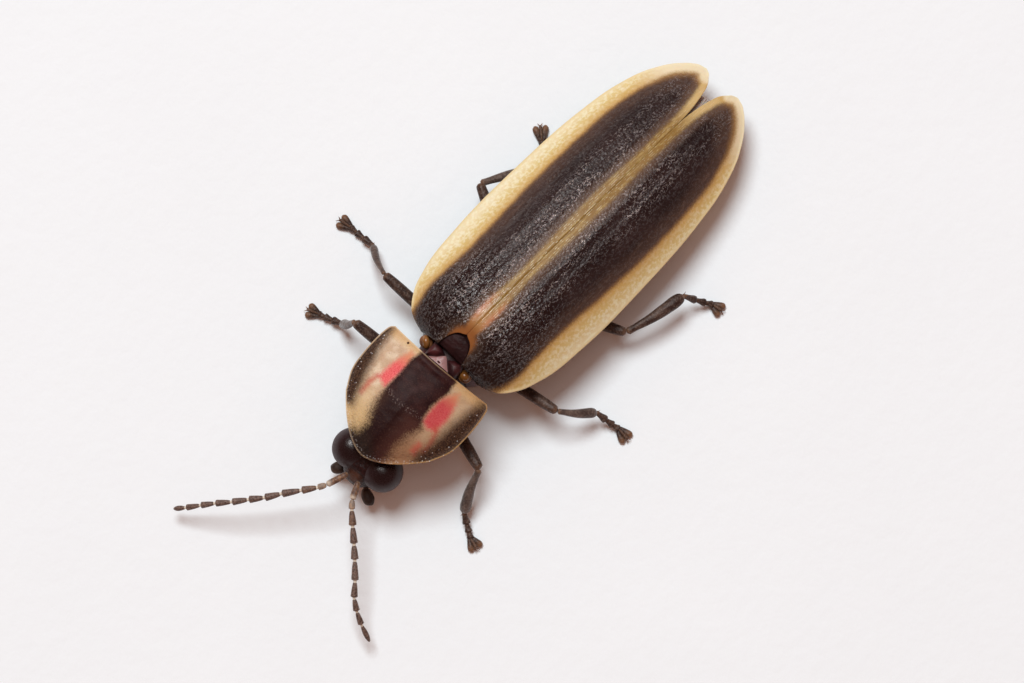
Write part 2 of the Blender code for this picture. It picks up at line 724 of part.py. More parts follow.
def foot(name, ankle, toe, start_normal, finish, root):
    """A tarsus of small joints with two lobes and two claws, flat where it rests on the floor."""
    ankle, toe = Vector(ankle), Vector(toe)
    along = (toe - ankle).normalized()
    level = Vector((along.x, along.y, 0)).normalized()
    across = level.cross(Vector((0, 0, 1)))
    start = ankle + along * (GAP / 2 / abs(along.dot(start_normal)))
    chain = []
    for k in range(TARSUS_JOINTS):
        for share, width in ((0.0, 0.84), (0.8, 1.0)):
            part = (k + share) / TARSUS_JOINTS
            centre = start.lerp(toe, part)
            centre.z = max(TARSUS_RADIUS - 0.05, centre.z - 0.10 * math.sin(math.pi * part))
            radius = TARSUS_RADIUS * width * (1 - 0.12 * part)
            chain.append(ring(centre, across, (0, 0, 1), radius, radius, 8))
    first = chain[0]
    for p in first:
        p += along * (-(p - start).dot(start_normal) / along.dot(start_normal))
    made = solid(name, *lofted(chain), finish, root, ankle)
    pieces = []
    for side in (-1, 1):
        lobe_way = (level + across * side * LOBE_TURN).normalized()
        lobe_middle = start.lerp(toe, 0.86) + across * side * LOBE_SPREAD
        lobe_middle.z = LOBE_RADII[2] - 0.02
        loops = []
        for share, width in ((-1, 0.35), (-0.6, 0.8), (0, 1), (0.6, 0.8), (1, 0.35)):
            centre = lobe_middle + lobe_way * LOBE_RADII[1] * share
            sideways = lobe_way.cross(Vector((0, 0, 1)))
            loops.append(ring(centre, sideways, (0, 0, 1), LOBE_RADII[0] * width, LOBE_RADII[2] * width, 8))
        pieces.append(solid(f"{name}_lobe", *lofted(loops), finish, root))
        claw_way = (level + across * side * CLAW_TURN).normalized()
        base = toe - level * 0.12 + across * side * 0.045
        base.z = CLAW_BASE_Z
        loops = []
        for share, width in ((0, 1), (0.55, 0.75), (1, 0.25)):
            centre = base + claw_way * CLAW_LENGTH * share
            centre.z = base.z - 0.07 * share**2
            sideways = claw_way.cross(Vector((0, 0, 1)))
            loops.append(ring(centre, sideways, (0, 0, 1), CLAW_RADIUS * width, CLAW_RADIUS * width, 6))
        pieces.append(solid(f"{name}_claw", *lofted(loops), finish, root))
    join(made, pieces)
    cut_flat(made, (0, 0, 0), (0, 0, -1))
    made.data.shade_smooth()
    return made


def joint_normal(before, at, after):
    """The direction halfway between the two lengths that meet at a joint."""
    arriving = (Vector(at) - Vector(before)).normalized()
    leaving = (Vector(after) - Vector(at)).normalized()
    return (arriving + leaving).normalized()


def leg(where, side, hip, knee, ankle, toe, finish, root):
    """A coxa, femur, tibia and tarsus that meet in shared planes.

    Returns the two that the trunk makes room for.
    """
    name = f"leg_{where}_{'left' if side > 0 else 'right'}"
    hip, knee, ankle, toe = (Vector(p) for p in (hip, knee, ankle, toe))
    inward = Vector((-side * COXA_SLANT[0], 0.0, COXA_SLANT[1])).normalized()
    root_point = hip + inward * COXA_REACH
    at_hip = joint_normal(root_point, hip, knee)
    at_knee = joint_normal(hip, knee, ankle)
    at_ankle = joint_normal(knee, ankle, toe)
    coxa = limb(f"{name}_coxa", root_point, hip, COXA_RADII, -inward, at_hip, finish, root)
    femur = limb(f"{name}_femur", hip, knee, FEMUR_RADII, at_hip, at_knee, finish, root)
    limb(f"{name}_tibia", knee, ankle, TIBIA_RADII, at_knee, at_ankle, finish, root)
    foot(f"{name}_tarsus", ankle, toe, at_ankle, finish, root)
    return [coxa, femur]


def turned(place):
    """A point of the head, in the body's frame."""
    at_neck = Matrix.Rotation(HEAD_YAW, 3, "Z") @ from_neck(place) + NECK_PIVOT
    return Matrix.Rotation(FOREBODY_YAW, 3, "Z") @ at_neck + FOREBODY_PIVOT


def antenna(name, side, joints, finish, root):
    """A string of tapered joints from the face to the tip, as one body."""
    root_point = Vector((side * ANTENNA_ROOT.x, ANTENNA_ROOT.y, ANTENNA_ROOT.z))
    place = turned(root_point)
    line = [turned(root_point + ANTENNA_SINK), place] + [Vector(p) for p in joints]
    count = len(line) - 1
    loops = []
    for k in range(count):
        start, end = line[k], line[k + 1]
        along = (end - start).normalized()
        across = along.cross(Vector((0, 0, 1))).normalized()
        up = across.cross(along)
        slim = 1 - 0.30 * max(0, k - 4) / (count - 4)
        base, tip = ARTICLE_NECK * slim, ARTICLE_RADIUS * slim
        shape = ((0.04, base), (0.62, tip), (0.9, 0.94 * tip))
        if k == 0:
            shape = ((0.0, ARTICLE_NECK), (0.9, ARTICLE_NECK))
        elif k == count - 1:
            shape = ((0.04, base), (0.5, tip), (0.85, 0.7 * tip), (1.0, 0.3 * tip))
        for part, radius in shape:
            loops.append(ring(start.lerp(end, part), across, up, radius, radius, ANTENNA_SIDES))
    return solid(name, *lofted(loops), finish, root, place)


def palp(name, way, finish, head_turn):
    """A feeler beside the mouth, ending in a club."""
    line = [from_neck(p) for p in way]
    along = (line[-1] - line[0]).normalized()
    across = along.cross(Vector((0, 0, 1))).normalized()
    up = across.cross(along)
    loops = [ring(p, across, up, r, r, 8) for p, r in zip(line, PALP_RADII)]
    return solid(name, *lofted(loops), finish, head_turn, line[0])


def jaw(name, side, finish, head_turn):
    """A small curved mandible that closes towards its fellow."""
    line = [from_neck((side * x, y, z)) for x, y, z in JAW]
    loops = [ring(p, (1, 0, 0), (0, 0, 1), r, r, 8) for p, r in zip(line, JAW_RADII)]
    return solid(name, *lofted(loops), finish, head_turn, line[0])


def knobs(finish, root):
    """The rounded hinge knobs beside the scutellum, to be joined to the mesothorax."""
    made = []
    for side in (-1, 1):
        points, faces = ellipsoid((side * KNOB_PLACE.x, KNOB_PLACE.y, KNOB_PLACE.z), KNOB_RADII, 12, 7)
        made.append(solid("knob", points, faces, finish, root))
    return made


def build():
    clear_scene()
    dark = material("dark_shell", (0.030, 0.018, 0.014), 0.45)
    cover = material("wing_cover", (0.045, 0.026, 0.020), 0.50)
    shield = material("shield", (0.50, 0.34, 0.18), 0.45)
    eye_black = material("eye", (0.010, 0.007, 0.008), 0.20)
    leg_brown = material("leg", (0.045, 0.028, 0.022), 0.50)
    feeler = material("feeler", (0.070, 0.040, 0.030), 0.55)
    belly = material("belly", (0.080, 0.045, 0.035), 0.50)
    lamp = material("lantern", (0.78, 0.72, 0.42), 0.50)
    membrane = material("wing_membrane", (0.10, 0.085, 0.085), 0.40)

    root = empty("firefly", (0, 0, 0))
    forebody = empty("forebody", FOREBODY_PIVOT, FOREBODY_YAW, root)
    head_turn = empty("head_turn", NECK_PIVOT, HEAD_YAW, forebody)
    lean = Matrix.Rotation(HINDBODY_YAW, 3, "Z") @ Matrix.Rotation(-HINDBODY_PITCH, 3, "X")
    moved = HINDBODY_PIVOT - lean @ HINDBODY_PIVOT
    hindbody = empty("hindbody", moved, HINDBODY_YAW, root, HINDBODY_PITCH)

    skull = head(dark, head_turn)
    chest = prothorax(dark, forebody)
    seat(chest, [pronotum(shield, forebody), skull])
    eyes = [eye(f"eye_{n}", s, eye_black, head_turn) for n, s in (("left", 1), ("right", -1))]
    feelers = [
        antenna("antenna_left", 1, ANTENNA_LEFT, feeler, root),
        antenna("antenna_right", -1, ANTENNA_RIGHT, feeler, root),
    ]
    palps = [
        palp("palp_left", PALP_LEFT, feeler, head_turn),
        palp("palp_right", PALP_RIGHT, feeler, head_turn),
    ]
    jaws = [jaw(f"mandible_{n}", s, dark, head_turn) for n, s in (("left", 1), ("right", -1))]
    seat(skull, eyes + feelers + palps + jaws)
    for ball in eyes:
        seat(ball, feelers)

    small_shield = scutellum(dark, root)
    middle = mesothorax(dark, root)
    join(middle, knobs(dark, root))
    rear = metathorax(dark, root)
    abdomen(belly, lamp, hindbody)
    for n, s in (("left", 1), ("right", -1)):
        plate = elytron(f"elytron_{n}", s, cover, hindbody)
        seat(middle, [plate])
        hind_wing(f"hindwing_{n}", s, membrane, hindbody)
    seat(middle, [small_shield])

    trunks = {"front": [chest], "middle": [middle, rear], "hind": [rear]}
    for where, side, hip, knee, ankle, toe in LEGS:
        upper_leg = leg(where, side, hip, knee, ankle, toe, leg_brown, root)
        for trunk_piece in trunks[where]:
            seat(trunk_piece, upper_leg)


build()
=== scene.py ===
"""The looks of a firefly beetle, standing on a pale floor with its head towards -Y and its back up.

Points and sizes are in millimetres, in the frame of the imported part, and become metres as a mesh is made.
X runs to the animal's left, Y towards its tail and Z up from the floor.
"""

import math

import bmesh
import bpy
import numpy as np
from mathutils import Matrix, Vector


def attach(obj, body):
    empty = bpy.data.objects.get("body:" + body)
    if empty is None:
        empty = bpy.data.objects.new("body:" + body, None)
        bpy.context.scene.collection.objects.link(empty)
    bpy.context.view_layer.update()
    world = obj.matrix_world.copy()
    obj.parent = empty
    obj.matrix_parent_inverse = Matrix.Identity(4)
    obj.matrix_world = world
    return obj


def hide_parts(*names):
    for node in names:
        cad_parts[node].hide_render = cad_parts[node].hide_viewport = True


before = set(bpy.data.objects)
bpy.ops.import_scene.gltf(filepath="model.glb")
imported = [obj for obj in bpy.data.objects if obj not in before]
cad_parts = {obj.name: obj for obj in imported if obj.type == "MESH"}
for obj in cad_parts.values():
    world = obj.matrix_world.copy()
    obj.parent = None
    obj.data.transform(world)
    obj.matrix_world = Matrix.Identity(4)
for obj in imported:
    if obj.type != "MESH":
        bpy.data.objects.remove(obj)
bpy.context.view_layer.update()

MM = 0.001
SQRT_HALF = math.sqrt(0.5)

# Camera: nearly overhead, with the body lying along the picture's rising diagonal.
VIEW_TARGET = (0.85, 0.39, 1.5)
VIEW_DISTANCE = 200.0
VIEW_HEIGHT = math.radians(81.5)
SENSOR_WIDTH = 36.0
PICTURE_WIDTH = 28.2

# Wing covers. Distances along them run from their front edge, and distances across from the midline.
COVER_FRONT_Y = -1.23
COVER_LENGTH = 10.93
COVER_TIP_X = 0.60
COVER_OUTLINE = (  # (distance from the front edge, half-width of the closed pair)
    (0.00, 1.05), (0.08, 1.33), (0.20, 1.60), (0.37, 1.78), (0.61, 1.95), (1.42, 2.25), (2.84, 2.42),
    (5.28, 2.43), (7.52, 2.29), (8.84, 2.07), (9.86, 1.70), (10.52, 1.25), (10.77, 0.98), (10.88, 0.80),
    (COVER_LENGTH, COVER_TIP_X + 0.02),
)
COVER_GAPE = (  # (distance from the front edge, how far each cover has parted from the seam)
    (0.00, 0.00), (8.74, 0.00), (9.35, 0.01), (9.75, 0.05), (10.01, 0.09), (10.26, 0.14), (10.46, 0.19),
    (10.62, 0.26), (10.77, 0.37), (10.87, 0.46), (COVER_LENGTH, COVER_TIP_X - 0.02),
)
MARGIN_WIDTH = (  # (distance from the front edge, width of the cream margin)
    (0.00, -0.12), (0.20, 0.00), (0.50, 0.17), (0.80, 0.28), (1.22, 0.43), (1.63, 0.57), (2.24, 0.68),
    (3.05, 0.74), (5.10, 0.70), (6.60, 0.65), (8.13, 0.55), (9.35, 0.46), (10.06, 0.37),
    (COVER_LENGTH, 0.32),
)
LEFT_MARGIN_LESS = (  # (distance from the front edge, how much narrower the left cover's margin is)
    (0.00, 0.00), (1.50, 0.03), (3.00, 0.10), (5.00, 0.17), (7.50, 0.18), (9.30, 0.13),
    (COVER_LENGTH, 0.04),
)
STRIPE_WIDTH = (  # (distance from the front edge, width of the golden stripe on one side of the seam)
    (0.00, -0.14), (0.22, -0.06), (0.45, 0.06), (0.70, 0.17), (1.32, 0.26), (1.80, 0.26), (2.24, 0.22),
    (4.60, 0.25), (6.10, 0.27), (7.62, 0.22), (9.15, 0.22), (COVER_LENGTH, 0.20),
)
MARGIN_Z = 1.88
SHOULDER_LIFT = 0.22
SUTURE_Z = 3.15
BASE_DROP = 0.42
SLOPE_START = 3.5  # from here along the covers, their middle sinks towards the tip
MARGIN_LIFT_START = 7.0  # and from here their margin rises a little
COSTAE = ((0.23, 0.030), (0.39, 0.034), (0.58, 0.024))  # (share of the half-width, height)
DOME_FLATNESS = 2.5  # a higher number keeps the middle of the closed covers flatter
DOME_FLARE = 1.05  # a higher number flares the margin out flatter
PLATE = 0.10  # thickness of a wing cover
COVER_EDGE = 0.035  # thickness at its edges

# How far each lies below the outer surface of the wing covers.
TRUNK_DEPTH = 0.20
WING_DEPTH = 0.26
ABDOMEN_DEPTH = 0.62

WING_START = 1.35  # where a folded wing begins and ends along its cover
WING_END = 10.28
WING_VEINS = (0.2, 0.38, 0.62, 0.82)  # shares of the folded wing's width
HINDBODY_PIVOT = np.array((0.0, 0.0, 2.2))
HINDBODY_YAW = math.radians(1.04)  # the covers, wings and abdomen lean to the right
HINDBODY_PITCH = math.radians(4.5)  # and slope down towards the tail

SCUTELLUM_FRONT_Y = -1.17
SCUTELLUM_TIP_Y = -0.60
SCUTELLUM_HALF_WIDTH = 0.44
SCUTELLUM_TOP_Z = 2.86

# Shield behind the eyes, in its own frame: X across, and distances ahead of its base.
FOREBODY_PIVOT = np.array((0.03, -1.66, 0.0))
FOREBODY_YAW = math.radians(4.2)
SHIELD_LENGTH = 3.20
# The shield's side border from base to front, as (distance across, distance ahead of the base).
SHIELD_SIDE = ((1.66, -0.13), (1.78, 0.02), (1.84, 0.45), (1.845, 1.00), (1.78, 1.55), (1.52, 2.10))
SHIELD_FRONT_POWER = 1.7
SHIELD_EDGE_Z = 2.25
SHIELD_FRONT_LIFT = 0.18
SHIELD_RISE = 0.78

# Colour borders on the shield, as outlines in plan of (distance across, distance ahead of the base).
SHIELD_STRIPE = (
    (-0.62, -0.40), (-0.60, 0.06), (-0.65, 0.28), (-0.64, 0.59), (-0.66, 1.07), (-0.67, 1.44),
    (-0.66, 1.77), (-0.56, 2.10), (-0.42, 2.42), (-0.50, 2.75), (-0.80, 2.85), (-0.80, 3.50), (0.62, 3.50),
    (0.60, 2.80), (0.58, 2.43), (0.64, 2.06), (0.79, 1.63), (0.65, 1.35), (0.62, 0.99), (0.65, 0.66),
    (0.72, 0.37), (0.69, 0.20), (0.69, -0.40),
)
SHIELD_BANDS = (
    (
        (-2.3, -0.4), (-1.72, -0.2), (-1.68, 0.14), (-1.62, 0.64), (-1.52, 1.07), (-1.42, 1.45),
        (-1.25, 1.95), (-1.16, 2.25), (-1.5, 2.45), (-2.3, 2.4),
    ),
    (
        (2.3, -0.4), (1.62, -0.3), (1.52, 0.33), (1.43, 0.74), (1.36, 1.26), (1.31, 1.64), (1.22, 2.18),
        (1.26, 2.42), (1.7, 2.5), (2.3, 2.4),
    ),
)
SHIELD_BARS = (
    (
        (-1.06, 1.26), (-0.98, 0.70), (-0.90, 0.42), (-0.85, 0.14), (-0.66, 0.16), (-0.60, 0.49),
        (-0.63, 0.97), (-0.72, 1.39),
    ),
    (
        (0.68, 1.44), (0.66, 1.11), (0.67, 0.72), (0.74, 0.50), (0.94, 0.18), (1.10, 0.48), (1.17, 0.95),
        (1.13, 1.40), (0.92, 1.50),
    ),
)
SHIELD_STREAKS = (
    ((-1.02, 1.22), (-1.08, 1.50), (-1.10, 1.92), (-1.19, 1.92), (-1.19, 1.55), (-1.12, 1.24)),
    (
        (1.02, 1.32), (1.14, 1.50), (1.20, 1.75), (1.21, 2.05), (1.29, 2.05), (1.28, 1.72), (1.20, 1.42),
        (1.10, 1.28),
    ),
    ((0.98, 1.92), (0.97, 2.22), (1.08, 2.24), (1.10, 1.94)),
)
SHIELD_ARC = ((-0.60, 1.37), (-0.37, 1.48), (-0.02, 1.50), (0.25, 1.45), (0.53, 1.42), (0.66, 1.34))
SHIELD_DOT = (-1.05, 0.03)

# Between the shield and the covers: outlines in plan, and (place, radii) of the knobs.
NECK_LOBES = {
    "right": ((-0.5, -1.68), (-0.54, -1.42), (-0.54, -1.19), (-0.36, -1.15), (-0.07, -1.27), (-0.23, -1.47)),
    "left": ((0.04, -1.33), (0.21, -1.20), (0.46, -1.12), (0.57, -1.28), (0.55, -1.63), (0.32, -1.57)),
}
HINGE_KNOBS = {
    "left": ((0.70, -1.29, 2.26), (0.15, 0.15, 0.16)),
    "right": ((-0.73, -1.36, 2.24), (0.12, 0.20, 0.16)),
}
NECK_SKIN = (
    (-0.52, -1.90), (-0.46, -1.66), (-0.24, -1.45), (-0.05, -1.27), (0.21, -1.46), (0.46, -1.64),
    (0.50, -1.90),
)
NECK_Z = 2.36

# Trunk: (y, half-width, underside, top).
FOREBODY = (
    (0.06, 0.90, 0.90, 2.62), (-0.35, 1.02, 0.74, 2.66), (-0.95, 1.02, 0.78, 2.66),
    (-1.50, 0.90, 0.98, 2.62), (-1.95, 0.74, 1.10, 2.40), (-2.30, 0.62, 1.14, 2.05),
)
FRONT_FOLD = ((-1.74, 0.76, 1.04, 2.26), (-1.51, 0.82, 0.92, 2.26), (-1.30, 0.86, 0.88, 2.24))
MIDBODY = (
    (-1.42, 0.86, 0.82, 2.30), (-1.15, 1.05, 0.70, 2.30), (-0.75, 1.18, 0.62, 2.28),
    (-0.22, 1.26, 0.58, 2.20),
)
MIDDLE_FOLD = ((-0.44, 1.14, 0.68, 2.02), (-0.21, 1.20, 0.66, 1.98), (0.02, 1.22, 0.64, 1.96))
HINDBODY = (
    (-0.20, 1.28, 0.56, 2.05), (0.45, 1.42, 0.52, 2.10), (1.30, 1.50, 0.52, 2.10),
    (2.00, 1.54, 0.56, 2.06), (2.52, 1.50, 0.66, 2.00),
)

# Head, in the forebody's frame.
NECK_PIVOT = np.array((0.08, -2.15, 0.0))
HEAD_YAW = math.radians(2.3)
HEAD_STATIONS = (  # (y, half-width, underside, top)
    (-3.83, 0.22, 0.92, 1.30), (-3.72, 0.36, 0.84, 1.56), (-3.54, 0.50, 0.82, 1.80),
    (-3.27, 0.66, 0.84, 1.96), (-2.94, 0.72, 0.88, 2.00), (-2.55, 0.55, 0.98, 1.96),
    (-2.24, 0.42, 1.14, 1.90),
)
EYE_PLACE = (0.53, -3.10, 1.52)
EYE_RADIUS = 0.565
ANTENNA_ROOT = (0.18, -3.74, 1.58)
PALP_LEFT = (
    (0.28, -3.36, 0.84), (0.31, -3.56, 0.74), (0.46, -3.76, 0.63), (0.64, -3.86, 0.58), (0.80, -3.90, 0.55),
)
PALP_RIGHT = (
    (-0.28, -3.36, 0.84), (-0.38, -3.52, 0.74), (-0.52, -3.65, 0.63), (-0.66, -3.73, 0.58),
    (-0.79, -3.77, 0.55),
)
# Half-width along a palp: (share of the length, half-width).
PALP_WIDTH = ((0, 0.08), (0.4, 0.09), (0.5, 0.13), (0.72, 0.17), (0.9, 0.15), (1, 0.10))
PALP_JOINTS = (0.20, 0.42)  # shares of the length
JAW = ((0.25, -3.46, 1.04), (0.28, -3.62, 1.02), (0.26, -3.72, 0.98), (0.14, -3.79, 0.95))

ABDOMEN_START_Y = 2.60
ABDOMEN_END_Y = 8.35
ABDOMEN_SEGMENTS = 7
LANTERN_SEGMENTS = (4, 5)  # counted from 0

SIDES = {1: "left", -1: "right"}

# Legs: (name, side, hip, knee, ankle, toe). Side is a key of SIDES.
LEGS = (
    ("front", 1, (0.80, -2.20, 0.74), (2.69, -2.72, 1.25), (3.18, -3.81, 0.38), (4.12, -4.25, 0.16)),
    ("front", -1, (-0.74, -2.04, 0.74), (-2.60, -2.29, 1.45), (-2.93, -2.46, 0.40), (-3.96, -2.85, 0.16)),
    ("middle", 1, (0.88, -0.50, 0.68), (3.07, -0.08, 1.22), (3.81, 0.73, 0.62), (4.92, 0.86, 0.16)),
    ("middle", -1, (-0.88, -0.62, 0.68), (-2.99, -0.75, 1.22), (-3.90, -0.31, 0.34), (-5.12, -0.44, 0.16)),
    ("hind", 1, (0.95, 1.92, 0.66), (2.84, 2.85, 0.95), (3.23, 4.71, 0.85), (4.24, 5.26, 0.16)),
    ("hind", -1, (-0.95, 1.98, 0.66), (-2.97, 2.95, 0.95), (-2.08, 4.46, 0.50), (-3.05, 5.40, 0.16)),
)
# Half-widths along the parts of a leg: (share of the length, half-width).
THIGH = ((0, 0.12), (0.06, 0.14), (0.12, 0.125), (0.2, 0.150), (0.5, 0.162), (0.85, 0.150), (1, 0.128))
SHIN = ((0, 0.085), (0.1, 0.082), (0.3, 0.100), (0.7, 0.140), (0.9, 0.138), (1, 0.10))
FOOT_JOINT = ((0, 0.062), (0.5, 0.088), (0.9, 0.112), (1, 0.100))
FOOT_LOBE = ((0, 0.045), (0.4, 0.078), (0.8, 0.098), (1, 0.085))
SPUR_RADIUS = 0.022
CLAW_RADIUS = 0.017
SOLE_Z = 0.004
FOOT_JOINTS = (0.0, 0.44, 0.76, 1.0)  # shares of the way from the ankle to the fork
FORK_Z = 0.13
# Where each foot forks into its two lobes, and how broad each shin looks.
FORKS = {
    ("front", 1): (3.78, -4.16),
    ("front", -1): (-3.64, -2.72),
    ("middle", 1): (4.52, 0.89),
    ("middle", -1): (-4.73, -0.37),
    ("hind", 1): (3.91, 5.20),
    ("hind", -1): (-2.68, 5.11),
}
SHIN_BREADTH = {("front", 1): 1.12, ("middle", -1): 0.78, ("hind", -1): 1.20, ("hind", 1): 1.24}

# Half-widths along a feeler's first, second, later and last joints: (share of the length, half-width).
FEELER_FIRST = ((0, 0.078), (0.15, 0.084), (0.75, 0.094), (1, 0.090))
FEELER_SECOND = ((0, 0.06), (0.4, 0.086), (1, 0.088))
FEELER_LATER = ((0, 0.056), (0.22, 0.076), (0.7, 0.100), (0.93, 0.105), (1, 0.096))
FEELER_LAST = ((0, 0.05), (0.4, 0.092), (0.8, 0.075), (1, 0.03))
FEELER_GAP = 0.03  # length of the pale skin between two joints
ANTENNA_RIGHT = (
    (0.07, -6.04, 1.60), (-0.05, -6.25, 1.56), (-0.32, -6.62, 1.48), (-0.65, -7.07, 1.40),
    (-0.91, -7.47, 1.33), (-1.19, -7.81, 1.26), (-1.48, -8.18, 1.17), (-1.79, -8.52, 1.05),
    (-2.05, -8.83, 0.90), (-2.31, -9.15, 0.72), (-2.56, -9.41, 0.52),
)
ANTENNA_LEFT = (
    (0.87, -5.83, 1.60), (1.04, -6.02, 1.56), (1.38, -6.32, 1.48), (1.75, -6.64, 1.40), (2.07, -6.93, 1.33),
    (2.48, -7.33, 1.25), (2.78, -7.67, 1.15), (3.08, -7.87, 1.02), (3.42, -8.03, 0.86), (3.90, -8.19, 0.62),
)

# Light that enters a wing cover or the shield spreads this far below its surface, red the farthest.
UNDER_SURFACE = {"Subsurface_Radius": (0.5, 0.3, 0.12), "Subsurface_Scale": 0.25 * MM}

# Setting. Lamps: (name, place in the view, width, power), in millimetres and watts.
LAMPS = (("softbox", (-60, 200, 345), 190, 1.58), ("top_light", (20, 40, 380), 150, 0.07))
LAMP_COLOUR = (0.815, 0.96, 1.0)
SKY_COLOUR = (1.0, 0.52, 0.36, 1.0)
SKY_STRENGTH = 0.30
FLOOR_WIDTH = 900.0


def tint(red, green, blue):
    """A colour in linear light from the 0 to 255 values that a screen shows."""
    linear = []
    for value in (red, green, blue):
        value /= 255
        linear.append(value / 12.92 if value <= 0.04045 else ((value + 0.055) / 1.055) ** 2.4)
    return (*linear, 1.0)


# Numbers and paths


def curve(stations, at):
    """A smooth curve through (distance, value) stations, read at one distance or many."""
    x, y = np.array(stations, float).T
    slope = np.gradient(y, x)
    at = np.clip(at, x[0], x[-1])
    k = np.clip(np.searchsorted(x, at, side="right") - 1, 0, len(x) - 2)
    span = x[k + 1] - x[k]
    t = (at - x[k]) / span
    start, end = y[k] * (1 + 2 * t) * (1 - t) ** 2, y[k + 1] * t * t * (3 - 2 * t)
    return start + end + span * (slope[k] * t * (1 - t) ** 2 - slope[k + 1] * t * t * (1 - t))


def smooth_path(points, count):
    """Evenly read points of a smooth curve through the given ones."""
    points = np.array(points, float)
    steps = np.linalg.norm(np.diff(points, axis=0), axis=1)
    reach = np.concatenate([[0], np.cumsum(steps)])
    at = np.linspace(0, reach[-1], count)
    return np.stack([curve(list(zip(reach, points[:, axis])), at) for axis in range(3)], axis=1)


def unit(vectors):
    vectors = np.array(vectors, float)
    length = np.linalg.norm(vectors, axis=-1, keepdims=True)
    return vectors / np.maximum(length, 1e-9)


def bell(x):
    """A smooth hump, 1 at x = 0 and all but gone at 2."""
    return np.exp(-(x**2))


def rounded(share):
    """Draws in the end of a limb in a round way as share falls from 1 to 0."""
    return np.sqrt(np.clip(share, 0, 1))


def grid(x, y, z):
    """Rows of points from grids of x and z, with one y for each row."""
    return np.stack([x, np.broadcast_to(y[:, None], x.shape), z], axis=-1)


def loop(sides, power=2.0):
    """Shares across and up for points round a loop, a circle at power 2 and squarer above it."""
    turn = np.linspace(0, 2 * math.pi, sides, endpoint=False)
    return (np.sign(wave) * np.abs(wave) ** (2 / power) for wave in (np.cos(turn), np.sin(turn)))


def turned(points, pivot, yaw):
    """Points of a part that is turned about an upright axis through pivot, in the frame around it."""
    c, s = math.cos(yaw), math.sin(yaw)
    return np.array(points, float) @ np.array(((c, s, 0), (-s, c, 0), (0, 0, 1))) + pivot


def on_hindbody(points):
    """Points of the covers, wings or abdomen, which lean and slope a little, in the body's frame."""
    c, s = math.cos(HINDBODY_PITCH), math.sin(HINDBODY_PITCH)
    sloped = (np.array(points, float) - HINDBODY_PIVOT) @ np.array(((1, 0, 0), (0, c, -s), (0, s, c)))
    return turned(sloped, HINDBODY_PIVOT, HINDBODY_YAW)


def on_forebody(points):
    return turned(points, FOREBODY_PIVOT, FOREBODY_YAW)


def on_head(points):
    """Points of the head, measured from its own midline and the shield's base, in the body's frame."""
    from_neck = np.array(points, float) - (0, NECK_PIVOT[1], 0)
    return on_forebody(turned(from_neck, NECK_PIVOT, HEAD_YAW))


def lumps(points, size, seed=0.0):
    """Soft noise from -1 to 1 at each point, by a few crossed waves about size apart."""
    rng = np.random.default_rng(int(seed) + 11)
    total = np.zeros(len(points))
    for _ in range(9):
        way = unit(rng.normal(size=3))
        wave = 2 * math.pi / (size * rng.uniform(0.7, 1.6))
        total += np.sin(points @ way * wave + rng.uniform(0, 6.28))
    return total / 4


# Meshes


def add_object(name, data):
    obj = bpy.data.objects.new(name, data)
    bpy.context.scene.collection.objects.link(obj)
    return obj


def piece(name, points, faces, finish, nodes=(), slot="dark_shell", fields=None):
    """A mesh piece that rides on the body, stands for CAD nodes and takes the finish it is given. The slot
    is not used.

    Fields are values at the points, which the finish reads. A plate's top shares them with its underside.
    """
    mesh = bpy.data.meshes.new(name)
    mesh.from_pydata([tuple(p) for p in np.array(points, float) * MM], [], faces)
    mesh.validate()
    mesh.update()
    mesh.shade_smooth()
    mesh.materials.append(finish)
    for field, values in (fields or {}).items():
        layer = mesh.attributes.new(field, "FLOAT", "POINT")
        layer.data.foreach_set("value", np.resize(values, len(points)).astype(np.float32))
    obj = add_object(name, mesh)
    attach(obj, "root")
    if nodes:
        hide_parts(*nodes)
    return obj


def joined(parts):
    """One list of points and faces from several."""
    points, faces, start = [], [], 0
    for some_points, some_faces in parts:
        points.append(np.array(some_points, float))
        faces += [tuple(i + start for i in face) for face in some_faces]
        start += len(some_points)
    return np.concatenate(points), faces


def sweep(path, widths, depths=None, sides=16):
    """Points and faces of a closed body along a path, with an ellipse at each point."""
    path = np.array(path, float)
    count = len(path)
    widths = np.broadcast_to(np.array(widths, float), count)
    depths = widths if depths is None else np.broadcast_to(np.array(depths, float), count)
    along = unit(np.gradient(path, axis=0))
    across = unit(np.cross(along, (0, 0, 1)))
    rise = np.cross(across, along)
    c, s = loop(sides)
    loops = path[:, None] + across[:, None] * (widths[:, None] * c)[..., None]
    loops = loops + rise[:, None] * (depths[:, None] * s)[..., None]
    return loops.reshape(-1, 3), tube_faces(count, sides)


def tube_faces(count, sides):
    faces = [tuple(range(sides))[::-1], tuple((count - 1) * sides + i for i in range(sides))]
    for k in range(count - 1):
        for i in range(sides):
            j = (i + 1) % sides
            faces.append((k * sides + i, k * sides + j, (k + 1) * sides + j, (k + 1) * sides + i))
    return faces


def pillow(outline, z, rise, drop, rings=14, count=60):
    """Points and faces of a flat body with a rounded top, inside a smooth closed outline in plan."""
    outline = np.array(outline, float)
    closed = np.concatenate([outline[-1:], outline, outline[:2]])
    reach = np.arange(len(closed)) - 1.0
    turn = np.linspace(0, len(outline), count, endpoint=False)
    edge = np.stack([curve(list(zip(reach, closed[:, axis])), turn) for axis in range(2)], axis=1)
    middle = edge.mean(axis=0)
    loops = []
    for k in range(rings):
        share = math.sin((k + 1) / rings * math.pi / 2)
        plan = middle + (edge - middle) * share
        height = z + rise * math.sqrt(max(0.0, 1 - share**2))
        loops.append(np.column_stack([plan, np.full(count, height)]))
    loops.append(np.column_stack([edge, np.full(count, z - drop)]))
    return np.concatenate(loops), tube_faces(rings + 1, count)


